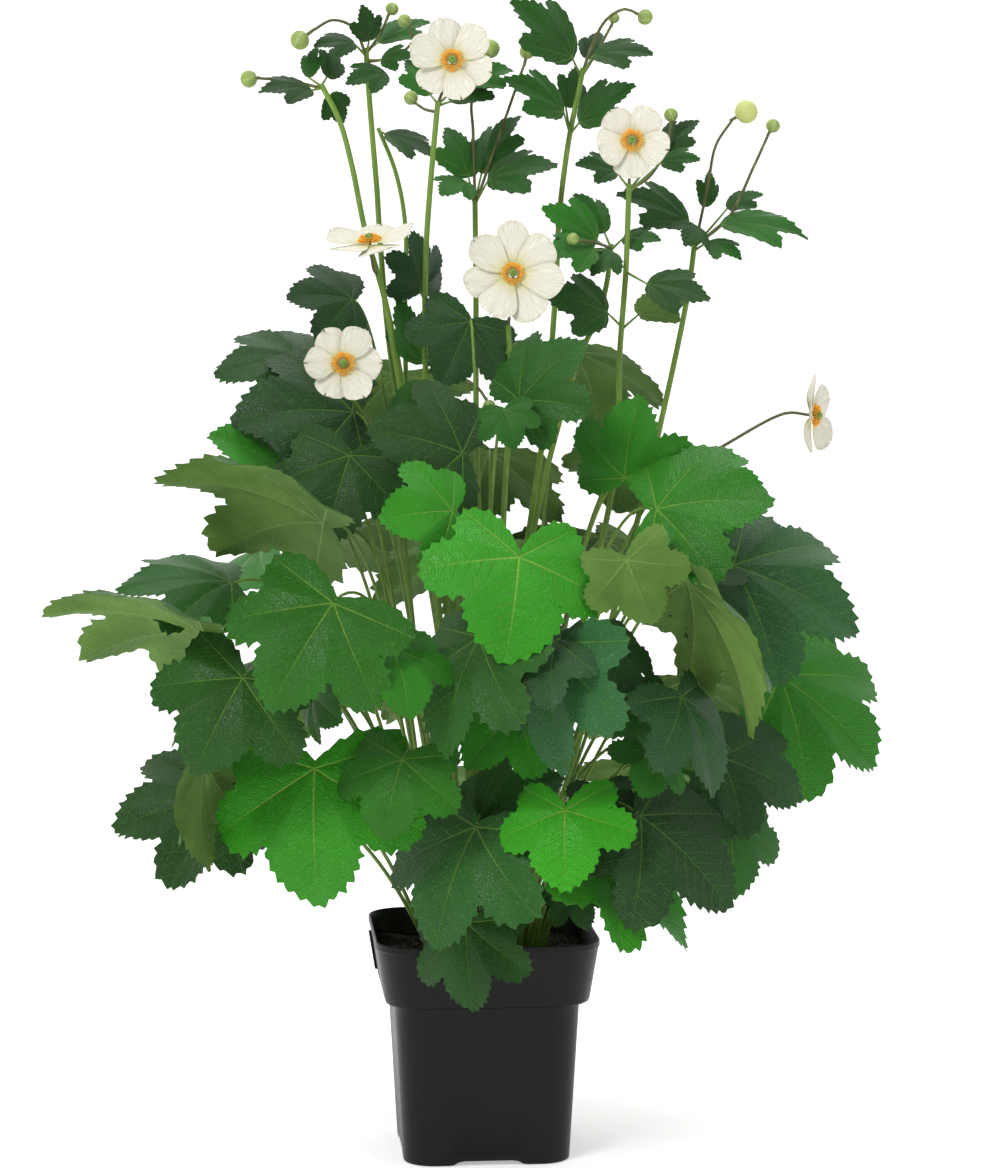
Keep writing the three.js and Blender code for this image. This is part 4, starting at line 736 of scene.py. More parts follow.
def smooth_path(points, spacing):
    """A smooth curve through the points, sampled about every spacing."""
    points = np.array(points, float)
    last = len(points) - 1
    before = 2 * points[0] - points[1]
    after = 2 * points[last] - points[last - 1]
    padded = np.vstack([before, points, after])
    out = []
    for k in range(last):
        p0, p1, p2, p3 = padded[k : k + 4]
        pairs = ((p0, p1), (p1, p2), (p2, p3))
        t0, t1, t2 = (math.sqrt(np.linalg.norm(b - a)) for a, b in pairs)
        first = ((p1 - p0) / t0 - (p2 - p0) / (t0 + t1) + (p2 - p1) / t1) * t1
        second = ((p2 - p1) / t1 - (p3 - p1) / (t1 + t2) + (p3 - p2) / t2) * t1
        steps = max(2, int(np.linalg.norm(p2 - p1) / spacing))
        t = np.linspace(0, 1, steps, endpoint=False)[:, None]
        out.append(
            p1 + first * t + (3 * (p2 - p1) - 2 * first - second) * t**2
            + (2 * (p1 - p2) + first + second) * t**3
        )
    return np.vstack([*out, points[last:]])


def main_path(stem):
    x, y = shoots[stem_name(stem)]
    points = [seen(*row) for row in stem["path"]]
    points.append(np.array([x, y, SOIL_TOP + STUB_TOP]))
    points.append(np.array([x, y, SOIL_TOP - STUB_DEPTH]))
    return points


def bloom_path(bloom):
    facing = unit(np.array(bloom["facing"], float))
    centre = seen(*bloom["centre"])
    steps = (-BLOOM_STALK_BACK, -BLOOM_STALK_NEAR, BUTTON_RISE)
    return [seen(*bloom["start"])] + [centre + facing * step for step in steps]


# Meshes. A piece gathers its parts, each with a material, a tone and a flat map.


class Piece:
    def __init__(self, name):
        self.name = name
        self.points = []
        self.faces = []
        self.kinds = []
        self.flat = []
        self.tones = []
        self.count = 0
        self.materials = []

    def add(self, points, faces, material, flat=None, tone=(0.5, 0.0, 0.0, 0.5)):
        if material not in self.materials:
            self.materials.append(material)
        kind = self.materials.index(material)
        size = len(points)
        self.points.append(np.asarray(points, float))
        self.faces.extend([tuple(int(i) + self.count for i in face) for face in faces])
        self.kinds.extend([kind] * len(faces))
        self.flat.append(np.zeros((size, 2)) if flat is None else flat)
        self.tones.append(np.broadcast_to(np.asarray(tone, float), (size, 4)))
        self.count += size

    def finish(self, slot, *nodes, sharp=50, cutter=None):
        data = bpy.data.meshes.new(self.name)
        data.from_pydata(np.vstack(self.points) * MM, [], self.faces)
        for material in self.materials:
            data.materials.append(material)
        data.polygons.foreach_set("material_index", self.kinds)
        data.polygons.foreach_set("use_smooth", [True] * len(data.polygons))
        flat = np.vstack(self.flat)
        corners = np.zeros(len(data.loops), np.int32)
        data.loops.foreach_get("vertex_index", corners)
        uv = data.uv_layers.new(name="flat")
        uv.data.foreach_set("uv", flat[corners].ravel())
        tones = data.color_attributes.new("tone", "FLOAT_COLOR", "POINT")
        tones.data.foreach_set("color", np.vstack(self.tones).ravel())
        data.update()
        if cutter:
            data = cut_by(data, cutter)
            data.name = self.name
        data.set_sharp_from_angle(angle=math.radians(sharp))
        piece = bpy.data.objects.new(self.name, data)
        bpy.context.scene.collection.objects.link(piece)
        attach(piece, "root")
        if nodes:
            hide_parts(*nodes)


def cut_by(data, cutter):
    """The mesh with the cutter's mesh taken out of it."""
    pair = [bpy.data.objects.new("cut", mesh) for mesh in (data, cutter)]
    for item in pair:
        bpy.context.scene.collection.objects.link(item)
    modifier = pair[0].modifiers.new("cut", "BOOLEAN")
    modifier.operation = "DIFFERENCE"
    modifier.solver = "EXACT"
    modifier.object = pair[1]
    ready = pair[0].evaluated_get(bpy.context.evaluated_depsgraph_get())
    made = bpy.data.meshes.new_from_object(ready)
    for item in pair:
        bpy.data.objects.remove(item)
    return made


def arrays_of(data):
    points = np.zeros(3 * len(data.vertices))
    data.vertices.foreach_get("co", points)
    return points.reshape(-1, 3) / MM, [tuple(face.vertices) for face in data.polygons]


def outward(points, faces):
    """The faces, turned round where the closed surface would be inside out."""
    volume = 0.0
    for face in faces:
        a = points[face[0]]
        for i in range(1, len(face) - 1):
            volume += np.dot(a, np.cross(points[face[i]], points[face[i + 1]]))
    return faces if volume > 0 else [face[::-1] for face in faces]


# Geometry Nodes


class Tree:
    """A node tree for geometry, with named inputs."""

    def __init__(self, name, **inputs):
        self.tree = bpy.data.node_groups.new(name, "GeometryNodeTree")
        socket = self.tree.interface.new_socket
        socket("Geometry", in_out="INPUT", socket_type="NodeSocketGeometry")
        self.keys = {}
        for key, kind in inputs.items():
            made = socket(key, in_out="INPUT", socket_type="NodeSocket" + kind)
            self.keys[key] = made.identifier
        socket("Geometry", in_out="OUTPUT", socket_type="NodeSocketGeometry")
        self.start = self.tree.nodes.new("NodeGroupInput").outputs

    def node(self, kind, inputs=(), **settings):
        made = self.tree.nodes.new(kind)
        for name, value in settings.items():
            setattr(made, name, value)
        for key, value in dict(inputs).items():
            if isinstance(value, bpy.types.NodeSocket):
                self.tree.links.new(value, made.inputs[key])
            else:
                made.inputs[key].default_value = value
        return made.outputs

    def attribute(self, name, kind):
        inputs = {"Name": name}
        return self.node("GeometryNodeInputNamedAttribute", inputs, data_type=kind)[0]

    def random(self, low, high, seed):
        """A random vector between two, for each point."""
        inputs = {"Min": low, "Max": high, "Seed": seed}
        return self.node("FunctionNodeRandomValue", inputs, data_type="FLOAT_VECTOR")[0]

    def end(self, geometry, material):
        real = self.node("GeometryNodeRealizeInstances", {0: geometry})[0]
        done = self.node("GeometryNodeSetMaterial", {"Geometry": real, "Material": material})[0]
        out = self.tree.nodes.new("NodeGroupOutput")
        self.tree.links.new(done, out.inputs[0])

    def run(self, data, **values):
        """The tree's result on a mesh, as a plain mesh."""
        carrier = bpy.data.objects.new("carrier", data)
        bpy.context.scene.collection.objects.link(carrier)
        modifier = carrier.modifiers.new("geometry", "NODES")
        modifier.node_group = self.tree
        for key, value in values.items():
            modifier[self.keys[key]] = value
        ready = carrier.evaluated_get(bpy.context.evaluated_depsgraph_get())
        made = bpy.data.meshes.new_from_object(ready)
        bpy.data.objects.remove(carrier)
        return made


def tube_tree():
    tree = Tree("tube along a path", Sides="Int", Finish="Material")
    start = tree.start
    path = tree.node("GeometryNodeMeshToCurve", {"Mesh": start["Geometry"]})[0]
    width = tree.attribute("width", "FLOAT")
    circle = {"Resolution": start["Sides"], "Radius": 1.0}
    ring = tree.node("GeometryNodeCurvePrimitiveCircle", circle)[0]
    tube = tree.node(
        "GeometryNodeCurveToMesh",
        {"Curve": path, "Profile Curve": ring, "Scale": width, "Fill Caps": True},
    )[0]
    tree.end(tube, start["Finish"])
    return tree


TUBES = tube_tree()


def add_tubes(piece, paths, sides, material, tone):
    """Round tubes: each path is its points and the radius at each of them."""
    points = np.vstack([path for path, _ in paths])
    edges = []
    first = 0
    for path, _ in paths:
        edges.extend((i, i + 1) for i in range(first, first + len(path) - 1))
        first += len(path)
    data = bpy.data.meshes.new("paths")
    data.from_pydata(points * MM, edges, [])
    widths = data.attributes.new("width", "FLOAT", "POINT")
    widths.data.foreach_set("value", np.hstack([width for _, width in paths]) * MM)
    made = TUBES.run(data, Sides=sides, Finish=material)
    spots, faces = arrays_of(made)
    piece.add(spots, outward(spots, faces), material, tone=tone)


# Shading


class Shade:
    """A socket in a material. Sums and products of it add Math nodes."""

    def __init__(self, tree, socket=None):
        self.tree = tree
        self.socket = socket

    def node(self, kind, inputs=(), output=0, stops=(), **settings):
        made = self.tree.nodes.new("ShaderNode" + kind)
        for name, value in settings.items():
            setattr(made, name, value)
        for i, (place, colour) in enumerate(stops):
            ramp = made.color_ramp.elements
            stop = ramp[i] if i < len(ramp) else ramp.new(place)
            stop.position = place
            stop.color = colour
        for key, value in dict(inputs).items():
            if isinstance(value, Shade):
                self.tree.links.new(value.socket, made.inputs[key])
            else:
                made.inputs[key].default_value = value
        return Shade(self.tree, made.outputs[output])

    def math(self, operation, *others):
        return self.node("Math", dict(enumerate((self, *others))), operation=operation)

    def __add__(self, other):
        return self.math("ADD", other)

    def __sub__(self, other):
        return self.math("SUBTRACT", other)

    def __mul__(self, other):
        return self.math("MULTIPLY", other)

    def __truediv__(self, other):
        return self.math("DIVIDE", other)

    def __rsub__(self, other):
        return self.node("Math", {0: other, 1: self}, operation="SUBTRACT")

    __radd__ = __add__
    __rmul__ = __mul__

    def step(self, low, high):
        """0 below low, 1 above high and smooth between, or the other way round."""
        sockets = {"Value": self, "From Min": low, "From Max": high}
        return self.node("MapRange", sockets, interpolation_type="SMOOTHSTEP")

    def mix(self, a, b):
        """Colour a turned to colour b by this share."""
        return self.node("Mix", {0: self, 6: a, 7: b}, output=2, data_type="RGBA")


def linear(code):
    """A colour code of the screen as the shader's own numbers."""
    parts = [int(code[i : i + 2], 16) / 255 for i in (0, 2, 4)]
    return (*[p / 12.92 if p <= 0.04045 else ((p + 0.055) / 1.055) ** 2.4 for p in parts], 1.0)


def finish_material(name, paint, **whole):
    made = bpy.data.materials.new(name)
    made.use_nodes = True
    tree = made.node_tree
    shader = tree.nodes["Principled BSDF"]
    for key, value in whole.items():
        shader.inputs[key.replace("_", " ")].default_value = value
    for key, value in paint(Shade(tree)).items():
        tree.links.new(value.socket, shader.inputs[key])
    return made


def coordinates(s):
    return s.node("TexCoord", output=3)


def noise(s, scale, detail=3.0, vector=None):
    where = vector or coordinates(s)
    return s.node("TexNoise", {"Vector": where, "Scale": scale, "Detail": detail})


def drawn_out(s, share):
    """Coordinates with their height scaled: a share under 1 makes upright streaks."""
    return s.node("Mapping", {"Vector": coordinates(s), "Scale": (1.0, 1.0, share)})


def bump(s, height, strength, distance):
    return s.node("Bump", {"Height": height, "Strength": strength, "Distance": distance})


def tone_parts(s):
    tone = s.node("Attribute", output=0, attribute_name="tone")
    parts = s.node("SeparateColor", {0: tone})
    node = parts.socket.node
    return [Shade(s.tree, node.outputs[i]) for i in range(3)]


def flat_parts(s):
    flat = s.node("UVMap", uv_map="flat")
    parts = s.node("SeparateXYZ", {0: flat}).socket.node
    return flat, Shade(s.tree, parts.outputs[0]), Shade(s.tree, parts.outputs[1])


def ramp(s, share, *codes):
    """The colours of the codes, evenly spaced over a share from 0 to 1."""
    stops = [(k / (len(codes) - 1), linear(code)) for k, code in enumerate(codes)]
    return s.node("ValToRGB", {0: share}, stops=stops)


def leaf_paint(s):
    bright, blue, under = tone_parts(s)
    flat, x, y = flat_parts(s)
    reach = (x * x + y * y).math("SQRT")
    bearing = y.math("ARCTAN2", x).math("ABSOLUTE")
    off = bearing.math("MINIMUM", (bearing - 0.85).math("ABSOLUTE"))
    off = off.math("MINIMUM", (bearing - 1.6).math("ABSOLUTE"))
    aside = reach * off.math("SINE")
    along = reach * off.math("COSINE")
    fade = 1 - 0.75 * reach.step(0.1, 0.95)
    ribs = (aside / (0.0095 - 0.006 * reach)).step(1.3, 0.3) * fade
    order = (along - aside * 0.95) * 9.0
    twigs = (order.math("FRACT") - 0.5).math("ABSOLUTE").step(0.43, 0.495)
    twigs = twigs * aside.step(0.26, 0.02)
    net = s.node("TexVoronoi", {"Vector": flat, "Scale": 38.0}, feature="DISTANCE_TO_EDGE")
    cells = net.step(0.0, 0.14)
    patches = noise(s, 22.0)
    clouds = noise(s, 6.0, 2.0)
    # A leaf's brightness is partly its own green and partly painted light and shade: front-lit
    # leaves get brighter greens, shaded ones darker.
    share = bright + (patches - 0.5) * 0.22 + (clouds - 0.5) * 0.3
    green = ramp(s, share, "10280a", "1a450d", "236611", "29850f", "35a312")
    # Painted sheen: a bluish grey-green mixed in by each leaf's share stands in for the sheen of
    # light on the leaves.
    green = (blue * 0.5).mix(green, linear("33694c"))
    green = (twigs * 0.2 + (1 - cells) * 0.1).mix(green, linear("6fae35"))
    green = (ribs * 0.5).mix(green, ramp(s, bright, "5f8f3c", "a4cc50"))
    below = patches.step(0.3, 0.7).mix(linear("5f8038"), linear("7c9c4c"))
    below = (ribs * 0.6 + twigs * 0.3).mix(below, linear("a3bd6e"))
    colour = (under * (0.55 + 0.4 * bright)).mix(green, below)
    relief = (cells * 0.45 - ribs * 0.8 - twigs * 0.7 + clouds * 2.0) * (1 - 1.8 * under)
    rough = 0.36 + 0.2 * noise(s, 60.0) + 0.2 * under
    return {
        "Base Color": colour,
        "Roughness": rough,
        "Normal": bump(s, relief, 0.8, 0.0014),
    }


def stem_paint(s):
    bright, brown, _ = tone_parts(s)
    streaks = noise(s, 420.0, 2.0, drawn_out(s, 0.12))
    share = bright + (noise(s, 14.0) - 0.5) * 0.4
    green = ramp(s, share, "3d5c1c", "5f8428", "86a838")
    colour = (brown * (0.7 + 0.6 * streaks)).mix(green, linear("54402a"))
    return {
        "Base Color": (streaks.step(0.5, 0.75) * 0.35).mix(colour, linear("a5bb62")),
        "Roughness": 0.42 + 0.2 * streaks,
        "Normal": bump(s, streaks, 0.35, 0.0004),
    }


def petal_paint(s):
    edge, _, under = tone_parts(s)
    _, x, y = flat_parts(s)
    slope = y / (x + 0.25)
    where = s.node("CombineXYZ", {0: slope * 9.0, 1: x * 0.8, 2: 0.0})
    lines = noise(s, 5.0, 4.0, where)
    base = x.step(0.46, 0.12)
    # Grey streaks along the radiating lines: partly the petal's own faint veins and partly
    # painted shade in their grooves.
    white = lines.step(0.3, 0.7).mix(linear("ebe8dc"), linear("d6d2bf"))
    colour = (base * 0.85).mix(white, linear("ccd07c"))
    colour = (lines.step(0.5, 0.75) * x.step(0.8, 0.3) * 0.5).mix(colour, linear("cdd38c"))
    # Painted shade: the petal darkens towards a greyish cream along its rim.
    colour = (edge.step(0.82, 1.0) * 0.35).mix(colour, linear("d6cfae"))
    colour = (under * (0.25 + 0.35 * x.step(0.7, 0.2))).mix(colour, linear("c5cd9c"))
    return {
        "Base Color": colour,
        "Roughness": 0.5 + 0.15 * lines,
        "Normal": bump(s, lines, 0.5, 0.0012),
    }


def stamen_paint(s):
    bright, _, _ = tone_parts(s)
    grains = noise(s, 900.0)
    colour = bright.mix(linear("ee8206"), linear("ffb81c"))
    return {
        "Base Color": (grains.step(0.5, 0.75) * 0.25).mix(colour, linear("dd7405")),
        "Roughness": 0.6 + 0.2 * grains,
        "Normal": bump(s, grains, 0.4, 0.0003),
    }


def bud_paint(s):
    seam, height, warm = tone_parts(s)
    hairs = noise(s, 900.0, 2.0, drawn_out(s, 0.2))
    colour = height.mix(linear("4d7426"), linear("7a9c40"))
    colour = warm.mix(colour, linear("d6d685"))
    colour = (seam * 0.5).mix(colour, linear("b9c985"))
    return {
        "Base Color": (hairs.step(0.45, 0.75) * 0.3).mix(colour, linear("c4d09a")),
        "Roughness": 0.55 + 0.2 * hairs,
        "Normal": bump(s, hairs, 0.5, 0.0004),
    }


def soil_paint(s):
    lumps = noise(s, 90.0, 6.0)
    fine = noise(s, 700.0, 3.0)
    colour = lumps.step(0.3, 0.75).mix(linear("120b07"), linear("2b1d13"))
    colour = (fine.step(0.62, 0.78) * 0.5).mix(colour, linear("503b28"))
    return {
        "Base Color": colour,
        "Roughness": 0.85 + 0.1 * fine,
        "Normal": bump(s, lumps * 0.7 + fine * 0.3, 0.8, 0.002),
    }


def pot_paint(s):
    dust = noise(s, 9.0, 5.0)
    grain = noise(s, 1400.0, 2.0)
    scuffs = noise(s, 16.0, 6.0, drawn_out(s, 14.0))
    colour = dust.step(0.4, 0.8).mix(linear("080808"), linear("0f0f10"))
    return {
        "Base Color": (scuffs.step(0.62, 0.8) * 0.3).mix(colour, linear("1c1c1d")),
        "Roughness": 0.3 + 0.1 * dust + 0.12 * scuffs,
        "Normal": bump(s, grain, 0.08, 0.0003),
    }


LEAF = finish_material("leaf", leaf_paint, Specular_IOR_Level=0.3)
STEM = finish_material("stem", stem_paint)
PETAL = finish_material("petal", petal_paint, Specular_IOR_Level=0.3)
STAMEN = finish_material("stamen", stamen_paint)
BUD = finish_material("bud", bud_paint)
SOIL = finish_material("soil", soil_paint)
POT = finish_material("pot plastic", pot_paint, Specular_IOR_Level=0.22)


# How bright and how brown each kind of stalk is, in the tone's first two places
TUFT_TONE = (0.55, 0.1, 0.0, 1.0)
STEM_TONE = (0.6, 0.05, 0.0, 1.0)
BARE_STALK_TONE = (0.2, 0.7, 0.0, 1.0)
BRACT_TONE = (0.5, 0.1, 0.0, 1.0)
NECK_TONE = (0.3, 0.5, 0.0, 1.0)


# Leaf blades


def tooth_outline(leaf, random):
    """The serrated outline of a leaf, and the same without its teeth."""
    toothed = []
    plain = []
    for mirrored in (False, True):
        half_toothed = []
        half_plain = []
        for points, teeth, from_tip in leaf["template"]["runs"]:
            points = np.array(points, float)
            lengths = lengths_along(points)
            steps = (0, TOOTH_FRONT, TOOTH_BACK)
            share = np.array([k + step for k in range(teeth) for step in steps]) / teeth
            rise = np.tile([0.0, 1.0, 0.5], teeth)
            if not from_tip:
                share = 1 - share[::-1]
                share = np.r_[0, share[:-1]]
                rise = np.r_[0, rise[::-1][:-1]]
            at = share * lengths[-1]
            spots = places_on(points, lengths, at)
            run = places_on(points, lengths, at + 0.02) - places_on(points, lengths, at - 0.02)
            normal = np.stack([run[:, 1], -run[:, 0]], axis=1)
            normal /= np.linalg.norm(normal, axis=1)[:, None]
            size = TOOTH * (0.6 + 0.8 * random.random(len(share)))
            size *= np.clip(np.hypot(*spots.T) / 0.45, 0.2, 1)
            half_plain.append(spots)
            half_toothed.append(spots + normal * (rise * size)[:, None])
        for half, whole in ((half_toothed, toothed), (half_plain, plain)):
            line = np.vstack([*half, [leaf["template"]["notch"]]])
            whole.append(line[::-1][1:-1] * [1, -1] if mirrored else line)
    return np.vstack(toothed), np.vstack(plain)


def add_blade(piece, leaf):
    template = leaf["template"]
    random = np.random.default_rng(template["seed"] + leaf["count"])
    outline, plain = tooth_outline(leaf, random)
    rings = template["rings"]
    rim = len(outline)
    flat = [outline * share if share == 1 else plain * share for share in rings]
    flat = np.vstack([[[0.0, 0.0]], *flat])
    spots = blade_points(leaf, flat[:, 0], flat[:, 1])
    reach = np.hypot(*flat.T)
    bearing = np.arctan2(flat[:, 1], flat[:, 0])
    coarse = np.sin(COARSE_RUFFLES * bearing + 2 * leaf["phase"])
    fine = np.sin(FINE_RUFFLES * bearing - leaf["phase"])
    ruffle = coarse + FINE_RUFFLE_SHARE * fine
    lift = RUFFLE * leaf["length"] * ruffle * reach**3
    spots += lift[:, None] * leaf["normal"]
    faces = []
    for i in range(rim):
        j = (i + 1) % rim
        faces.append((0, 1 + i, 1 + j))
        for ring in range(len(rings) - 1):
            low = 1 + ring * rim
            faces.append((low + i, low + rim + i, low + rim + j, low + j))
    size = len(spots)
    half = leaf["normal"] * BLADE_THICKNESS / 2
    both = np.vstack([spots + half, spots - half])
    all_faces = faces + [tuple(size + k for k in reversed(face)) for face in faces]
    last = 1 + (len(rings) - 1) * rim
    for i in range(rim):
        j = (i + 1) % rim
        all_faces.append((last + i, size + last + i, size + last + j, last + j))
    turn = bearing * template["vein_scale"]
    marks = np.stack([reach * np.cos(turn), reach * np.sin(turn)], axis=1)
    tone = np.zeros((2 * size, 4))
    # The tone's first place: the leaf's brightness, partly its own green and partly painted light
    # and shade.
    tone[:, 0] = leaf["tone"]
    # The tone's second place: the leaf's share of painted bluish sheen.
    tone[:, 1] = leaf["blue"]
    tone[size:, 2] = 1.0
    tone[:, 3] = 1.0
    piece.add(both, all_faces, LEAF, np.vstack([marks, marks]), tone)


def leaf_stalk(leaf, from_soil):
    basal = leaf["template"] is BASAL
    points = stalk_points(leaf, 26 if basal else 8)
    if basal and from_soil:
        deep = points[0] - np.array([0, 0, STUB_DEPTH])
        points = np.vstack([deep, points])
    thick = STALK_RADIUS if basal else BRACT_STALK_RADIUS
    taper = np.linspace(1.0, STALK_TIP_SHARE, len(points))
    return points, thick * taper


def make_tufts():
    for name in dict.fromkeys(leaf["node"] for leaf in leaves):
        own = [leaf for leaf in leaves if leaf["node"] == name]
        piece = Piece(name + "_blades")
        for leaf in own:
            add_blade(piece, leaf)
        stalks = [leaf_stalk(leaf, rank == 0) for rank, leaf in enumerate(own)]
        add_tubes(piece, stalks, 8, STEM, TUFT_TONE)
        piece.finish("leaf", name)


make_tufts()


# Round buds, with the seams of their folded petals


BUD_AROUND, BUD_ROWS = 30, 18
BUD_SEAMS = 5
SEAM_SLANT = 0.35
SEAM_WIDTH = 0.1
SEAM_DEPTH = 0.06
BUD_FLATNESS = 0.96
BUD_TOP = 0.97


def globe_grid(around, rows):
    """For the rings of a globe: the turn about its axis and the fall from its top."""
    turn = np.linspace(0, 2 * math.pi, around, endpoint=False)
    return np.meshgrid(turn, np.linspace(0, math.pi, rows + 1)[1:-1])


def add_globe(piece, heart, axes, grid, size, top_at, bottom_at, tone, flatness=1.0):
    """A closed globe, whose size may differ from place to place."""
    axis, first, second = axes
    turn, fall = grid
    spots = (
        heart
        + (size * np.cos(fall) * flatness)[..., None] * axis
        + (size * np.sin(fall) * np.cos(turn))[..., None] * first
        + (size * np.sin(fall) * np.sin(turn))[..., None] * second
    ).reshape(-1, 3)
    spots = np.vstack([spots, heart + axis * top_at, heart - axis * bottom_at])
    top, bottom = len(spots) - 2, len(spots) - 1
    levels, around = turn.shape
    faces = []
    for i in range(around):
        j = (i + 1) % around
        faces.append((top, i, j))
        for level in range(levels - 1):
            low = level * around
            faces.append((low + i, low + around + i, low + around + j, low + j))
        low = (levels - 1) * around
        faces.append((low + i, bottom, low + j))
    piece.add(spots, outward(spots, faces), BUD, tone=tone)


def add_bud(piece, centre, radius, axis, warm):
    first = unit(np.cross(axis, [0.3, 0.9, 0.2]))
    turn, fall = grid = globe_grid(BUD_AROUND, BUD_ROWS)
    spiral = BUD_SEAMS * turn / (2 * math.pi) + SEAM_SLANT * np.cos(fall)
    seam = np.exp(-(((spiral % 1) - 0.5) / SEAM_WIDTH) ** 2)
    size = radius * (1 - SEAM_DEPTH * seam * np.sin(fall)) * (1 + 0.03 * np.cos(fall))
    tone = np.ones((turn.size + 2, 4))
    tone[:, 0] = np.r_[seam.ravel(), 0, 0]
    tone[:, 1] = np.r_[(0.5 + 0.5 * np.cos(fall)).ravel(), 1, 0]
    tone[:, 2] = warm
    axes = (axis, first, np.cross(axis, first))
    top_at = radius * BUD_TOP
    add_globe(piece, centre, axes, grid, size, top_at, radius, tone, BUD_FLATNESS)


# Flower stems


STEM_STEP = 9
BRANCH_STEP = 8
STALK_STEP = 4
STEM_TOP_SHARE = 0.78
STALK_FOOT_SHARE = 1.15
NECK_RADII = (1.25, 1.35, 1.6)
NECK_BACK = 3
NECK_INSIDE = 0.5
LARGE_BUD = 9


def tapered(path, wide, narrow):
    return path, np.linspace(narrow, wide, len(path))


def make_stems():
    for stem in STEMS:
        name = stem_name(stem)
        piece = Piece(name + "_shoot")
        path = smooth_path(main_path(stem), STEM_STEP)
        thick = [tapered(path, STEM_RADIUS, STEM_TOP_SHARE * STEM_RADIUS)]
        for rows in stem["branches"]:
            path = smooth_path([seen(*row) for row in rows], BRANCH_STEP)
            thick.append(tapered(path, BRANCH_RADIUS * 1.1, BRANCH_RADIUS * 0.9))
        add_tubes(piece, thick, 12, STEM, STEM_TONE)
        lines = [[seen(*row) for row in rows] for rows in stem["stalks"]]
        lines += [bloom_path(bloom) for bloom in stem["blooms"]]
        foot = PEDUNCLE_RADIUS * STALK_FOOT_SHARE
        thin = [tapered(smooth_path(line, STALK_STEP), PEDUNCLE_RADIUS, foot) for line in lines]
        if thin:
            add_tubes(piece, thin, 8, STEM, BARE_STALK_TONE)
        own = [leaf for leaf in bracts if leaf["node"] == name]
        if own:
            add_tubes(piece, [leaf_stalk(leaf, False) for leaf in own], 8, STEM, BRACT_TONE)
        for leaf in own:
            add_blade(piece, leaf)
        ends = [seen(*rows[-1]) for rows in stem["stalks"]]
        for px, py, depth, radius in stem["buds"]:
            centre = seen(px, py, depth)
            near = min(ends, key=lambda end: np.linalg.norm(end - centre))
            along = unit(near - centre)
            inside = centre + along * radius * NECK_INSIDE
            neck = np.array([near + along * NECK_BACK, near, inside])
            add_tubes(piece, [(neck, np.array(NECK_RADII))], 8, STEM, NECK_TONE)
            warm = 0.75 if radius > LARGE_BUD else 0.15
            add_bud(piece, centre, radius, unit(centre - near), warm)
        piece.finish("stem", name)


make_stems()


# Blooms

PETAL_ROWS = [(0.0, 0.05), (0.09, 0.08), (0.25, 0.22), (0.42, 0.345), (0.58, 0.425),
              (0.7, 0.445), (0.8, 0.41), (0.88, 0.34), (0.94, 0.25), (0.98, 0.15), (1.0, 0.05)]
CUP = 0.16
INNER_CUP = 0.1
LAYER_RISE = 1.8
TWIST = 0.08
EDGE_CURL = 0.16
PETAL_LEAF = 0.45
PETAL_LENGTHS, PETAL_COLUMNS = 20, 15
PETAL_ROOT = 0.08

# How far one petal differs from the next, as the least and the most more
NOTCH = (0.02, 0.11)
BREADTH = (0.8, 0.17)
REACHED = (0.9, 0.1)
LIFT = (-0.04, 0.1)
TILT = 0.24
NOTCH_WIDTH = 0.25
EDGE_WAVE = 0.05
TIP_WAVE = 0.02
RIPPLE = 0.016
CREASE = 0.02
CREASE_WIDTH = 0.16

# The green heart of a bloom: points round it, rows, knobs and their height
BUTTON_AROUND, BUTTON_ROWS = 36, 18
KNOBS = 9
KNOB_HEIGHT = 0.07


def bloom_axes(bloom):
    facing = unit(np.array(bloom["facing"], float))
    sight = np.array([0.0, -1.0, 0.0]) if abs(facing[2]) > 0.9 else UP
    first = unit(sight - facing * np.dot(sight, facing))
    return seen(*bloom["centre"]), facing, first, np.cross(facing, first)


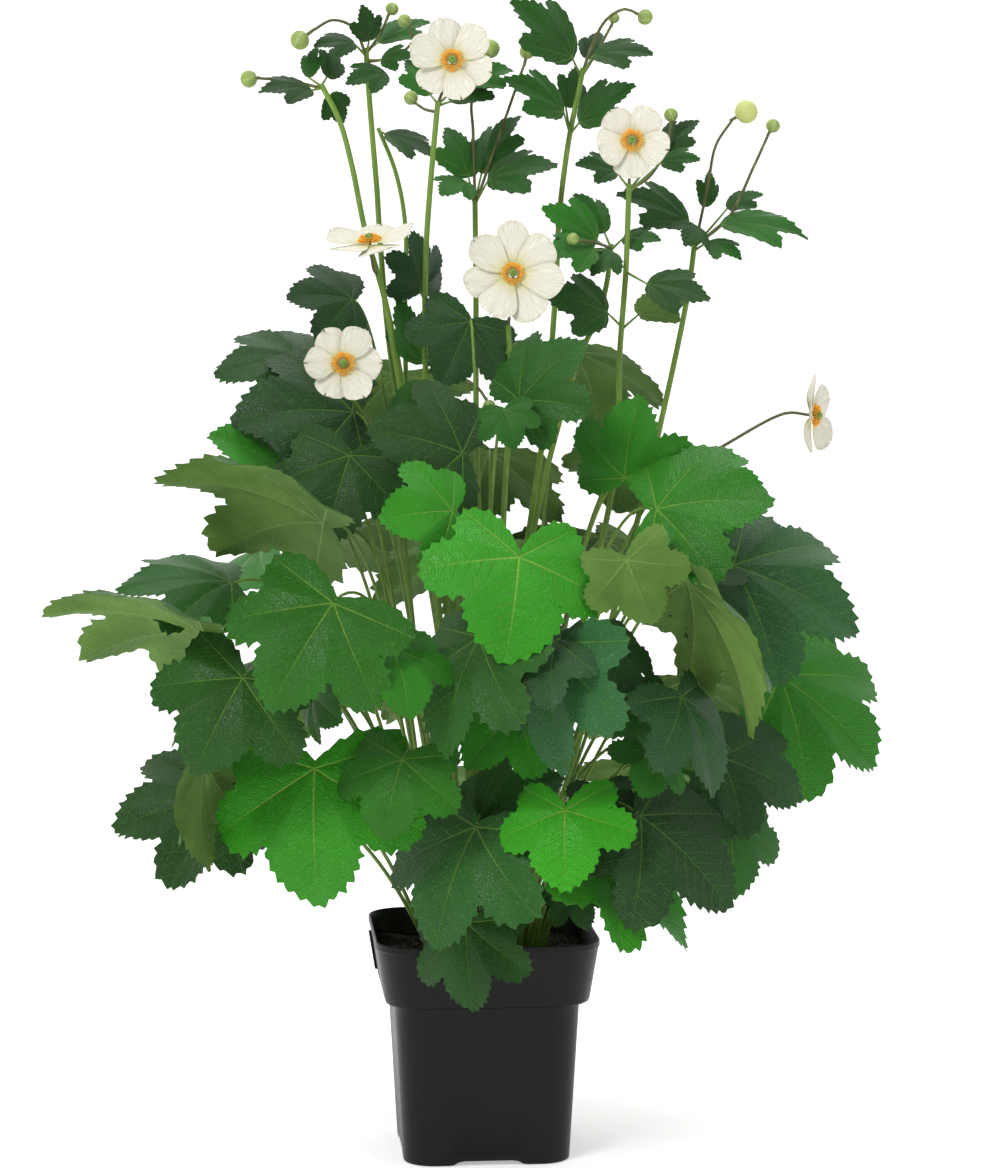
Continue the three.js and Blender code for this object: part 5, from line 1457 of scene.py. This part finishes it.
def add_petal(piece, bloom, petal, random):
    centre, facing, first, second = bloom_axes(bloom)
    turn = math.radians(bloom["turn"] + 360 * petal / bloom["petals"])
    along = first * math.cos(turn) + second * math.sin(turn)
    across = np.cross(facing, along)
    broad = 6 / bloom["petals"]
    odd = petal == bloom["petals"] - 1 and bloom["petals"] % 2 == 1
    layer = 0.0 if odd else petal % 2 - 0.5
    lengths, columns = PETAL_LENGTHS, PETAL_COLUMNS
    notch = NOTCH[0] + NOTCH[1] * random.random() ** 2
    notch_at = 0.5 * (random.random() - 0.5)
    wobble = random.random(3) * 2 * math.pi
    rows_x, rows_y = np.array(PETAL_ROWS).T
    share, run = np.meshgrid(np.linspace(-1, 1, columns), np.linspace(PETAL_ROOT, 1, lengths))
    half = np.interp(run, rows_x, rows_y) * (BREADTH[0] + BREADTH[1] * random.random())
    reached = REACHED[0] + REACHED[1] * random.random()
    lift = LIFT[1] * random.random() + LIFT[0]
    tilt = TILT * (random.random() - 0.5)
    half = half * (1 + EDGE_WAVE * np.sin(3 * run * math.pi + wobble[0] + share))
    x = run * (1 - notch * np.exp(-(((share - notch_at) / NOTCH_WIDTH) ** 2)) * run**6)
    x = x * (1 + TIP_WAVE * np.sin(5 * share + wobble[1]) * run**4)
    y = half * share
    rise = CUP * x * x + INNER_CUP * layer * x + TWIST * y * x - EDGE_CURL * y * y
    rise = rise + RIPPLE * np.sin(7 * share + wobble[2]) * run**3
    rise = rise - CREASE * np.exp(-((share / CREASE_WIDTH) ** 2)) * run
    rise = rise + lift * x**2 + tilt * x * y
    x = x * (1 - (1 - reached) * run**2)
    radius = bloom["radius"]
    spots = (
        centre
        + (radius * x)[..., None] * along
        + (radius * y * broad)[..., None] * across
        + (radius * rise + layer * LAYER_RISE)[..., None] * facing
    ).reshape(-1, 3)
    size = len(spots)
    both = np.vstack([spots + facing * PETAL_LEAF / 2, spots - facing * PETAL_LEAF / 2])
    faces = []
    for i in range(lengths - 1):
        for j in range(columns - 1):
            a = i * columns + j
            face = (a, a + columns, a + columns + 1, a + 1)
            faces.append(face)
            faces.append(tuple(size + k for k in reversed(face)))
    edge = list(range(columns))
    edge += [i * columns + columns - 1 for i in range(1, lengths)]
    edge += [(lengths - 1) * columns + j for j in range(columns - 2, -1, -1)]
    edge += [i * columns for i in range(lengths - 2, 0, -1)]
    for k, a in enumerate(edge):
        b = edge[(k + 1) % len(edge)]
        faces.append((a, b, size + b, size + a))
    flat = np.stack([run.ravel(), share.ravel() * half.ravel()], axis=1)
    tone = np.zeros((2 * size, 4))
    # The tone's first place: how near the rim a point is, where the petal paint puts painted
    # shade.
    tone[:, 0] = np.tile(np.maximum(np.abs(share), run**4).ravel(), 2)
    tone[size:, 2] = 1
    tone[:, 3] = 1
    piece.add(both, outward(both, faces), PETAL, np.vstack([flat, flat]), tone)


FILAMENT_RADIUS = 0.16
FILAMENT_LENGTH = 4.6
ANTHER_SHAPE = (0.62, 0.42, 1.0)
STAMEN_COUNT = 84
STAMEN_ROWS = (0.25, 0.62, 1.0)
STAMEN_LEAN = (22, 50)
STAMEN_ROOT = (3.3, 1.3)
STAMEN_FOOT = (2.4, -1.0)
ANTHER_TONE_FROM = 5.5
ANTHER_TONE_OVER = 4.0


def stamen_tree():
    """A filament with its anther on every point, along the point's own aim."""
    tree = Tree("stamens", Length="Float", Finish="Material")
    start = tree.start
    length = start["Length"]
    aim = tree.attribute("aim", "FLOAT_VECTOR")
    turn = tree.node("FunctionNodeAlignRotationToVector", {"Vector": aim}, axis="Z")[0]
    thread = tree.node(
        "GeometryNodeMeshCylinder",
        {"Vertices": 4, "Radius": FILAMENT_RADIUS * MM, "Depth": length},
    )["Mesh"]
    up = tree.node("ShaderNodeMath", {0: length, 1: 0.5}, operation="MULTIPLY")[0]
    middle = tree.node("ShaderNodeCombineXYZ", {2: up})[0]
    thread = tree.node("GeometryNodeTransform", {"Geometry": thread, "Translation": middle})[0]
    round_ = {"Segments": 7, "Rings": 5, "Radius": 1.0 * MM}
    ball = tree.node("GeometryNodeMeshUVSphere", round_)["Mesh"]
    top = tree.node("ShaderNodeCombineXYZ", {2: length})[0]
    anther = tree.node(
        "GeometryNodeTransform",
        {"Geometry": ball, "Translation": top, "Scale": ANTHER_SHAPE},
    )[0]
    join = tree.tree.nodes.new("GeometryNodeJoinGeometry")
    tree.tree.links.new(thread, join.inputs[0])
    tree.tree.links.new(anther, join.inputs[0])
    size = tree.random((0.8, 0.8, 0.7), (1.15, 1.15, 1.1), 3)
    set_out = tree.node(
        "GeometryNodeInstanceOnPoints",
        {
            "Points": start["Geometry"], "Instance": join.outputs[0], "Rotation": turn,
            "Scale": size,
        },
    )[0]
    tree.end(set_out, start["Finish"])
    return tree


STAMENS = stamen_tree()


def add_stamens(piece, bloom, random):
    centre, facing, first, second = bloom_axes(bloom)
    roots = []
    aims = []
    for i in range(STAMEN_COUNT):
        turn = 2 * math.pi * (i + 0.6 * random.random()) / STAMEN_COUNT
        out = first * math.cos(turn) + second * math.sin(turn)
        spread_out = STAMEN_ROWS[i % 3] + 0.12 * (random.random() - 0.5)
        lean = math.radians(STAMEN_LEAN[0] + STAMEN_LEAN[1] * spread_out)
        away = STAMEN_ROOT[0] + STAMEN_ROOT[1] * spread_out
        rise = STAMEN_FOOT[0] + STAMEN_FOOT[1] * spread_out
        roots.append(centre + out * away + facing * rise)
        aims.append(out * math.sin(lean) + facing * math.cos(lean))
    data = bpy.data.meshes.new("roots")
    data.from_pydata(np.array(roots) * MM, [], [])
    aim = data.attributes.new("aim", "FLOAT_VECTOR", "POINT")
    aim.data.foreach_set("vector", np.array(aims).ravel())
    made = STAMENS.run(data, Length=FILAMENT_LENGTH * MM, Finish=STAMEN)
    spots, faces = arrays_of(made)
    aside = np.linalg.norm(np.cross(spots - centre, facing), axis=1)
    height = np.abs((spots - centre) @ facing) + aside
    tone = np.ones((len(spots), 4))
    tone[:, 0] = np.clip((height - ANTHER_TONE_FROM) / ANTHER_TONE_OVER, 0, 1)
    piece.add(spots, faces, STAMEN, tone=tone)


def add_button(piece, bloom):
    """The green heart of a bloom: a globe of small points."""
    centre, facing, first, second = bloom_axes(bloom)
    heart = centre + facing * BUTTON_RISE
    turn, fall = grid = globe_grid(BUTTON_AROUND, BUTTON_ROWS)
    knobs = np.sin(KNOBS * turn) * np.sin(KNOBS * fall)
    size = BUTTON_RADIUS * (1 + KNOB_HEIGHT * knobs)
    axes = (facing, first, second)
    tone = (0.0, 0.6, 0.0, 1.0)
    add_globe(piece, heart, axes, grid, size, BUTTON_RADIUS, BUTTON_RADIUS, tone)


def make_blooms():
    for stem in STEMS:
        for bloom in stem["blooms"]:
            random = np.random.default_rng(40 + int(bloom["radius"]))
            name = bloom["name"]
            petals = Piece(name + "_corolla")
            for petal in range(bloom["petals"]):
                add_petal(petals, bloom, petal, random)
            petals.finish("petal", name + "_petals")
            heart = Piece(name + "_heart")
            add_stamens(heart, bloom, random)
            add_button(heart, bloom)
            heart.finish("stamen", name + "_stamens")


make_blooms()


# The pot and its soil

CORNER_POINTS = 10
SIDE_POINTS = 18
PANEL_SHARE = 0.74
PANEL_DEPTH = 0.45
LUG_DEPTH = 2.0
LUG_HALF = 3.2
LUG_BITE = 1.5
LUG_PLACE = 52
LUG_ENDS = (4, 36)
ARCH_EASE = 3.5
SEAM_LOW = 28.9
SEAM_HIGH = 22.6
SEAM_RADIUS = 0.35


def square_ring(half, corner, z, panel=0.0, arch=False):
    """A rounded square: corners and flat sides, with a sunk panel on each side."""
    points = []
    flat = half - corner
    for quarter in range(4):
        angle = quarter * math.pi / 2
        cos, sin = math.cos(angle), math.sin(angle)
        side = []
        for u in np.linspace(-1, 1, SIDE_POINTS, endpoint=False):
            sunk = panel * (1 if abs(u) < PANEL_SHARE else 0)
            high = z
            if arch:
                reach = abs(u) * flat
                share = (ARCH_HALF + ARCH_EASE - reach) / (2 * ARCH_EASE)
                high = z + ARCH_HEIGHT * float(np.clip(share, 0, 1))
            side.append((half - sunk, u * flat, high))
        for k in range(CORNER_POINTS):
            a = (math.pi / 2) * k / CORNER_POINTS
            side.append((flat + corner * math.cos(a), flat + corner * math.sin(a), z))
        points.extend((x * cos - y * sin, x * sin + y * cos, h) for x, y, h in side)
    return np.array(points)


def lofted(rings):
    """A closed surface through rings of points, capped at both ends."""
    size = len(rings[0])
    ends = [[0, 0, ring[:, 2].mean()] for ring in (rings[0], rings[-1])]
    points = np.vstack([*rings, ends])
    first, last = len(points) - 2, len(points) - 1
    faces = []
    for i in range(size):
        j = (i + 1) % size
        for level in range(len(rings) - 1):
            low = level * size
            faces.append((low + i, low + j, low + size + j, low + size + i))
        faces.append((first, j, i))
        top = (len(rings) - 1) * size
        faces.append((last, top + i, top + j))
    return points, faces


def turned_pot(points):
    cos, sin = math.cos(POT_TURN), math.sin(POT_TURN)
    x, y, z = np.asarray(points).T
    return np.stack([x * cos - y * sin, x * sin + y * cos, z], axis=1)


def outer(half, z, **extra):
    return square_ring(half, CORNER_SHARE * half, z, **extra)


def inner(half, inset, z, **extra):
    return square_ring(half - inset, CORNER_SHARE * half - inset, z, **extra)


def drain_drills():
    """Five drills that go through the floor."""
    shape = bmesh.new()
    for hole in range(5):
        angle = hole * math.pi / 2 + math.pi / 4 + POT_TURN
        away = DRAIN_SPACING if hole < 4 else 0.0
        spot = (away * math.cos(angle), away * math.sin(angle), (FLOOR_UNDERSIDE + FLOOR_TOP) / 2)
        bmesh.ops.create_cone(
            shape, cap_ends=True, segments=28, radius1=DRAIN_RADIUS * MM,
            radius2=DRAIN_RADIUS * MM, depth=6 * MM, matrix=Matrix.Translation(Vector(spot) * MM),
        )
    drills = bpy.data.meshes.new("drills")
    shape.to_mesh(drills)
    shape.free()
    drills.materials.append(POT)
    return drills


def collar_seams():
    """The raised slanting lines on the middle of each side of the collar."""
    seams = []
    for quarter in range(4):
        cos, sin = math.cos(quarter * math.pi / 2), math.sin(quarter * math.pi / 2)
        for side in (-1, 1):
            low = (side * SEAM_LOW, -COLLAR_HALF - 0.1, COLLAR_BOTTOM + 4.5)
            high = (side * SEAM_HIGH, -RIM_HALF + 1.15, POT_HEIGHT - 8)
            line = [(x * cos - y * sin, x * sin + y * cos, z) for x, y, z in (low, high)]
            seams.append((turned_pot(line), np.full(2, SEAM_RADIUS)))
    return seams


def body(z):
    """Half the width of the pot under its collar, at a height."""
    return FOOT_HALF + (BODY_HALF_TOP - FOOT_HALF) * z / (COLLAR_BOTTOM - 1)


def make_pot():
    rings = [
        inner(FOOT_HALF + 0.3, WALL + 0.2, FLOOR_UNDERSIDE),
        inner(FOOT_HALF, WALL + 0.2, 0, arch=True),
        outer(FOOT_HALF - 0.5, 0, arch=True),
        outer(FOOT_HALF, 0.6, arch=True),
        outer(body(8), 8),
        outer(body(9), 9, panel=PANEL_DEPTH),
        outer(body(60), 60, panel=PANEL_DEPTH),
        outer(body(120), 120, panel=PANEL_DEPTH),
        outer(body(121), 121),
        outer(BODY_HALF_TOP - 0.2, COLLAR_BOTTOM - 2.4),
        outer(BODY_HALF_TOP + 0.5, COLLAR_BOTTOM - 0.8),
        outer(COLLAR_HALF - 2.5, COLLAR_BOTTOM),
        outer(COLLAR_HALF - 0.9, COLLAR_BOTTOM + 1.0),
        outer(COLLAR_HALF, COLLAR_BOTTOM + 3.5),
        outer(RIM_HALF - 1.0, POT_HEIGHT - 7),
        outer(RIM_HALF - 0.4, POT_HEIGHT - 5.6),
        outer(RIM_HALF, POT_HEIGHT - 5.0),
        outer(RIM_HALF, POT_HEIGHT - 0.7),
        outer(RIM_HALF - 0.5, POT_HEIGHT),
        inner(RIM_HALF, WALL - 0.4, POT_HEIGHT),
        inner(RIM_HALF, WALL, POT_HEIGHT - 0.6),
        inner(COLLAR_HALF, WALL, COLLAR_BOTTOM + 4.5),
        inner(COLLAR_HALF - 2.5, WALL, COLLAR_BOTTOM + 1.7),
        inner(BODY_HALF_TOP, WALL, COLLAR_BOTTOM + 1),
        inner(FOOT_HALF + 0.4, WALL, FLOOR_TOP),
    ]
    points, faces = lofted(rings)
    piece = Piece("pot_shell")
    piece.add(turned_pot(points), faces, POT)
    sides = [(-LUG_DEPTH, -1), (LUG_BITE, -1), (LUG_BITE, 1), (-LUG_DEPTH, 1)]
    lug = np.array([(x, y * LUG_HALF, 0) for x, y in sides])
    slope = (RIM_HALF - COLLAR_HALF) / (POT_HEIGHT - COLLAR_BOTTOM - 6)
    levels = [
        lug + [-COLLAR_HALF - slope * up, LUG_PLACE, COLLAR_BOTTOM + 3.5 + up] for up in LUG_ENDS
    ]
    points, faces = lofted(levels)
    piece.add(turned_pot(points), faces, POT)
    add_tubes(piece, collar_seams(), 6, POT, (0.5, 0.0, 0.0, 0.5))
    piece.finish("pot_plastic", "pot", sharp=32, cutter=drain_drills())


def crumb_tree():
    """Crumbs of soil strewn over the top."""
    tree = Tree("soil crumbs", Density="Float", Size="Float", Finish="Material")
    start = tree.start
    spread = tree.node(
        "GeometryNodeDistributePointsOnFaces",
        {"Mesh": start["Geometry"], "Density": start["Density"], "Seed": 5},
    )[0]
    round_ = {"Radius": start["Size"], "Subdivisions": 1}
    ball = tree.node("GeometryNodeMeshIcoSphere", round_)["Mesh"]
    size = tree.random((0.35, 0.3, 0.25), (1.2, 1.0, 0.8), 8)
    turn = tree.random((0, 0, 0), (6.3, 6.3, 6.3), 9)
    crumbs = tree.node(
        "GeometryNodeInstanceOnPoints",
        {"Points": spread, "Instance": ball, "Rotation": turn, "Scale": size},
    )[0]
    tree.end(crumbs, start["Finish"])
    return tree


CRUMBS = crumb_tree()


SOIL_SEED = 21
SOIL_WAVES = 14
WAVE_STEEPNESS = 0.09
SOIL_SHARES = (0.99, 0.96, 0.92, 0.86, 0.79, 0.71, 0.62, 0.53, 0.44, 0.35, 0.26, 0.17, 0.08)
HILL_HEIGHT = 0.8
EDGE_FALL = 4.5
EDGE_STARTS = 0.85
CRUMB_DENSITY = 60000.0
CRUMB_SIZE = 1.5


def make_soil():
    gap = WALL + 0.5
    half = RIM_HALF - 3
    rings = [
        inner(FOOT_HALF + 0.4, gap, FLOOR_TOP + 0.35),
        inner(BODY_HALF_TOP, gap, COLLAR_BOTTOM + 1.5),
        inner(COLLAR_HALF - 2.6, gap, COLLAR_BOTTOM + 2.4),
        inner(COLLAR_HALF, gap + 0.1, COLLAR_BOTTOM + 5),
        inner(half, gap + 0.5, SOIL_TOP - 4),
    ]
    walls = len(rings)
    random = np.random.default_rng(SOIL_SEED)
    waves = random.normal(size=(SOIL_WAVES, 2)) * WAVE_STEEPNESS
    phases = random.random(SOIL_WAVES) * 2 * math.pi
    for share in SOIL_SHARES:
        ring = inner(half, gap + 0.5, SOIL_TOP) * [share, share, 1]
        hills = sum(np.sin(ring[:, :2] @ wave + phase) for wave, phase in zip(waves, phases))
        fall = EDGE_FALL * max(0.0, share - EDGE_STARTS) / (1 - EDGE_STARTS)
        ring[:, 2] += HILL_HEIGHT * hills - fall - 1.0
        rings.append(ring)
    points, faces = lofted(rings)
    size = len(rings[0])
    piece = Piece("potting_soil")
    piece.add(turned_pot(points), faces, SOIL)
    top = bpy.data.meshes.new("soil top")
    keep = [face for face in faces if min(face) >= walls * size]
    top.from_pydata(turned_pot(points) * MM, [], keep)
    made = CRUMBS.run(top, Density=CRUMB_DENSITY, Size=CRUMB_SIZE * MM, Finish=SOIL)
    spots, crumbs = arrays_of(made)
    piece.add(spots, crumbs, SOIL)
    piece.finish("soil", "soil", sharp=40)


make_pot()
make_soil()


# Floor, backdrop and lights, in metres

FLOOR_FRONT = -4.0
FLOOR_BACK = 2.2
SWEEP = 1.5
SWEEP_STEPS = 12
STAGE_TOP = 9.0
STAGE_HALF = 9.0
FLOOR_DROP = 0.0005
FLOOR_WHITE = 0.94
FLOOR_GLOW = 0.42
WORLD_LIGHT = 0.34

# Each light: name, place, what it points at, its width and height, watts
LIGHTS = [
    ("key", (-1.5, -2.2, 2.4), (0, 0, 0.5), (1.0, 1.0), 54),
    ("fill", (2.4, -1.8, 1.3), (0, 0, 0.5), (1.6, 1.8), 12),
    ("top", (0.2, 0.4, 2.8), (0, 0, 0.4), (1.8, 1.8), 34),
]


def make_stage():
    data = bpy.data.meshes.new("floor")
    profile = [(FLOOR_FRONT, 0.0), (FLOOR_BACK, 0.0)]
    for k in range(1, SWEEP_STEPS + 1):
        angle = math.pi / 2 * k / SWEEP_STEPS
        profile.append((FLOOR_BACK + SWEEP * math.sin(angle), SWEEP - SWEEP * math.cos(angle)))
    profile.append((FLOOR_BACK + SWEEP, STAGE_TOP))
    edges = (-STAGE_HALF, STAGE_HALF)
    points = [(x, y, z - FLOOR_DROP) for y, z in profile for x in edges]
    faces = [(2 * k, 2 * k + 1, 2 * k + 3, 2 * k + 2) for k in range(len(profile) - 1)]
    data.from_pydata(points, [], faces)
    data.polygons.foreach_set("use_smooth", [True] * len(data.polygons))
    floor = bpy.data.objects.new("floor", data)
    bpy.context.scene.collection.objects.link(floor)
    white = bpy.data.materials.new("pale floor")
    white.use_nodes = True
    shader = white.node_tree.nodes["Principled BSDF"]
    shader.inputs["Base Color"].default_value = (FLOOR_WHITE, FLOOR_WHITE, FLOOR_WHITE, 1.0)
    shader.inputs["Roughness"].default_value = 0.9
    shader.inputs["Emission Color"].default_value = (1.0, 1.0, 1.0, 1.0)
    shader.inputs["Emission Strength"].default_value = FLOOR_GLOW
    data.materials.append(white)


def add_light(name, place, aim, size, power):
    data = bpy.data.lights.new(name, "AREA")
    data.shape = "RECTANGLE"
    data.size, data.size_y = size
    data.energy = power
    light = bpy.data.objects.new(name, data)
    light.location = place
    light.rotation_euler = (Vector(aim) - Vector(place)).to_track_quat("-Z", "Y").to_euler()
    bpy.context.scene.collection.objects.link(light)


make_stage()
for row in LIGHTS:
    add_light(*row)
bpy.context.scene.view_settings.view_transform = "Standard"

world = bpy.data.worlds.new("studio")
world.use_nodes = True
world.node_tree.nodes["Background"].inputs[0].default_value = (1, 1, 1, 1)
world.node_tree.nodes["Background"].inputs[1].default_value = WORLD_LIGHT
bpy.context.scene.world = world
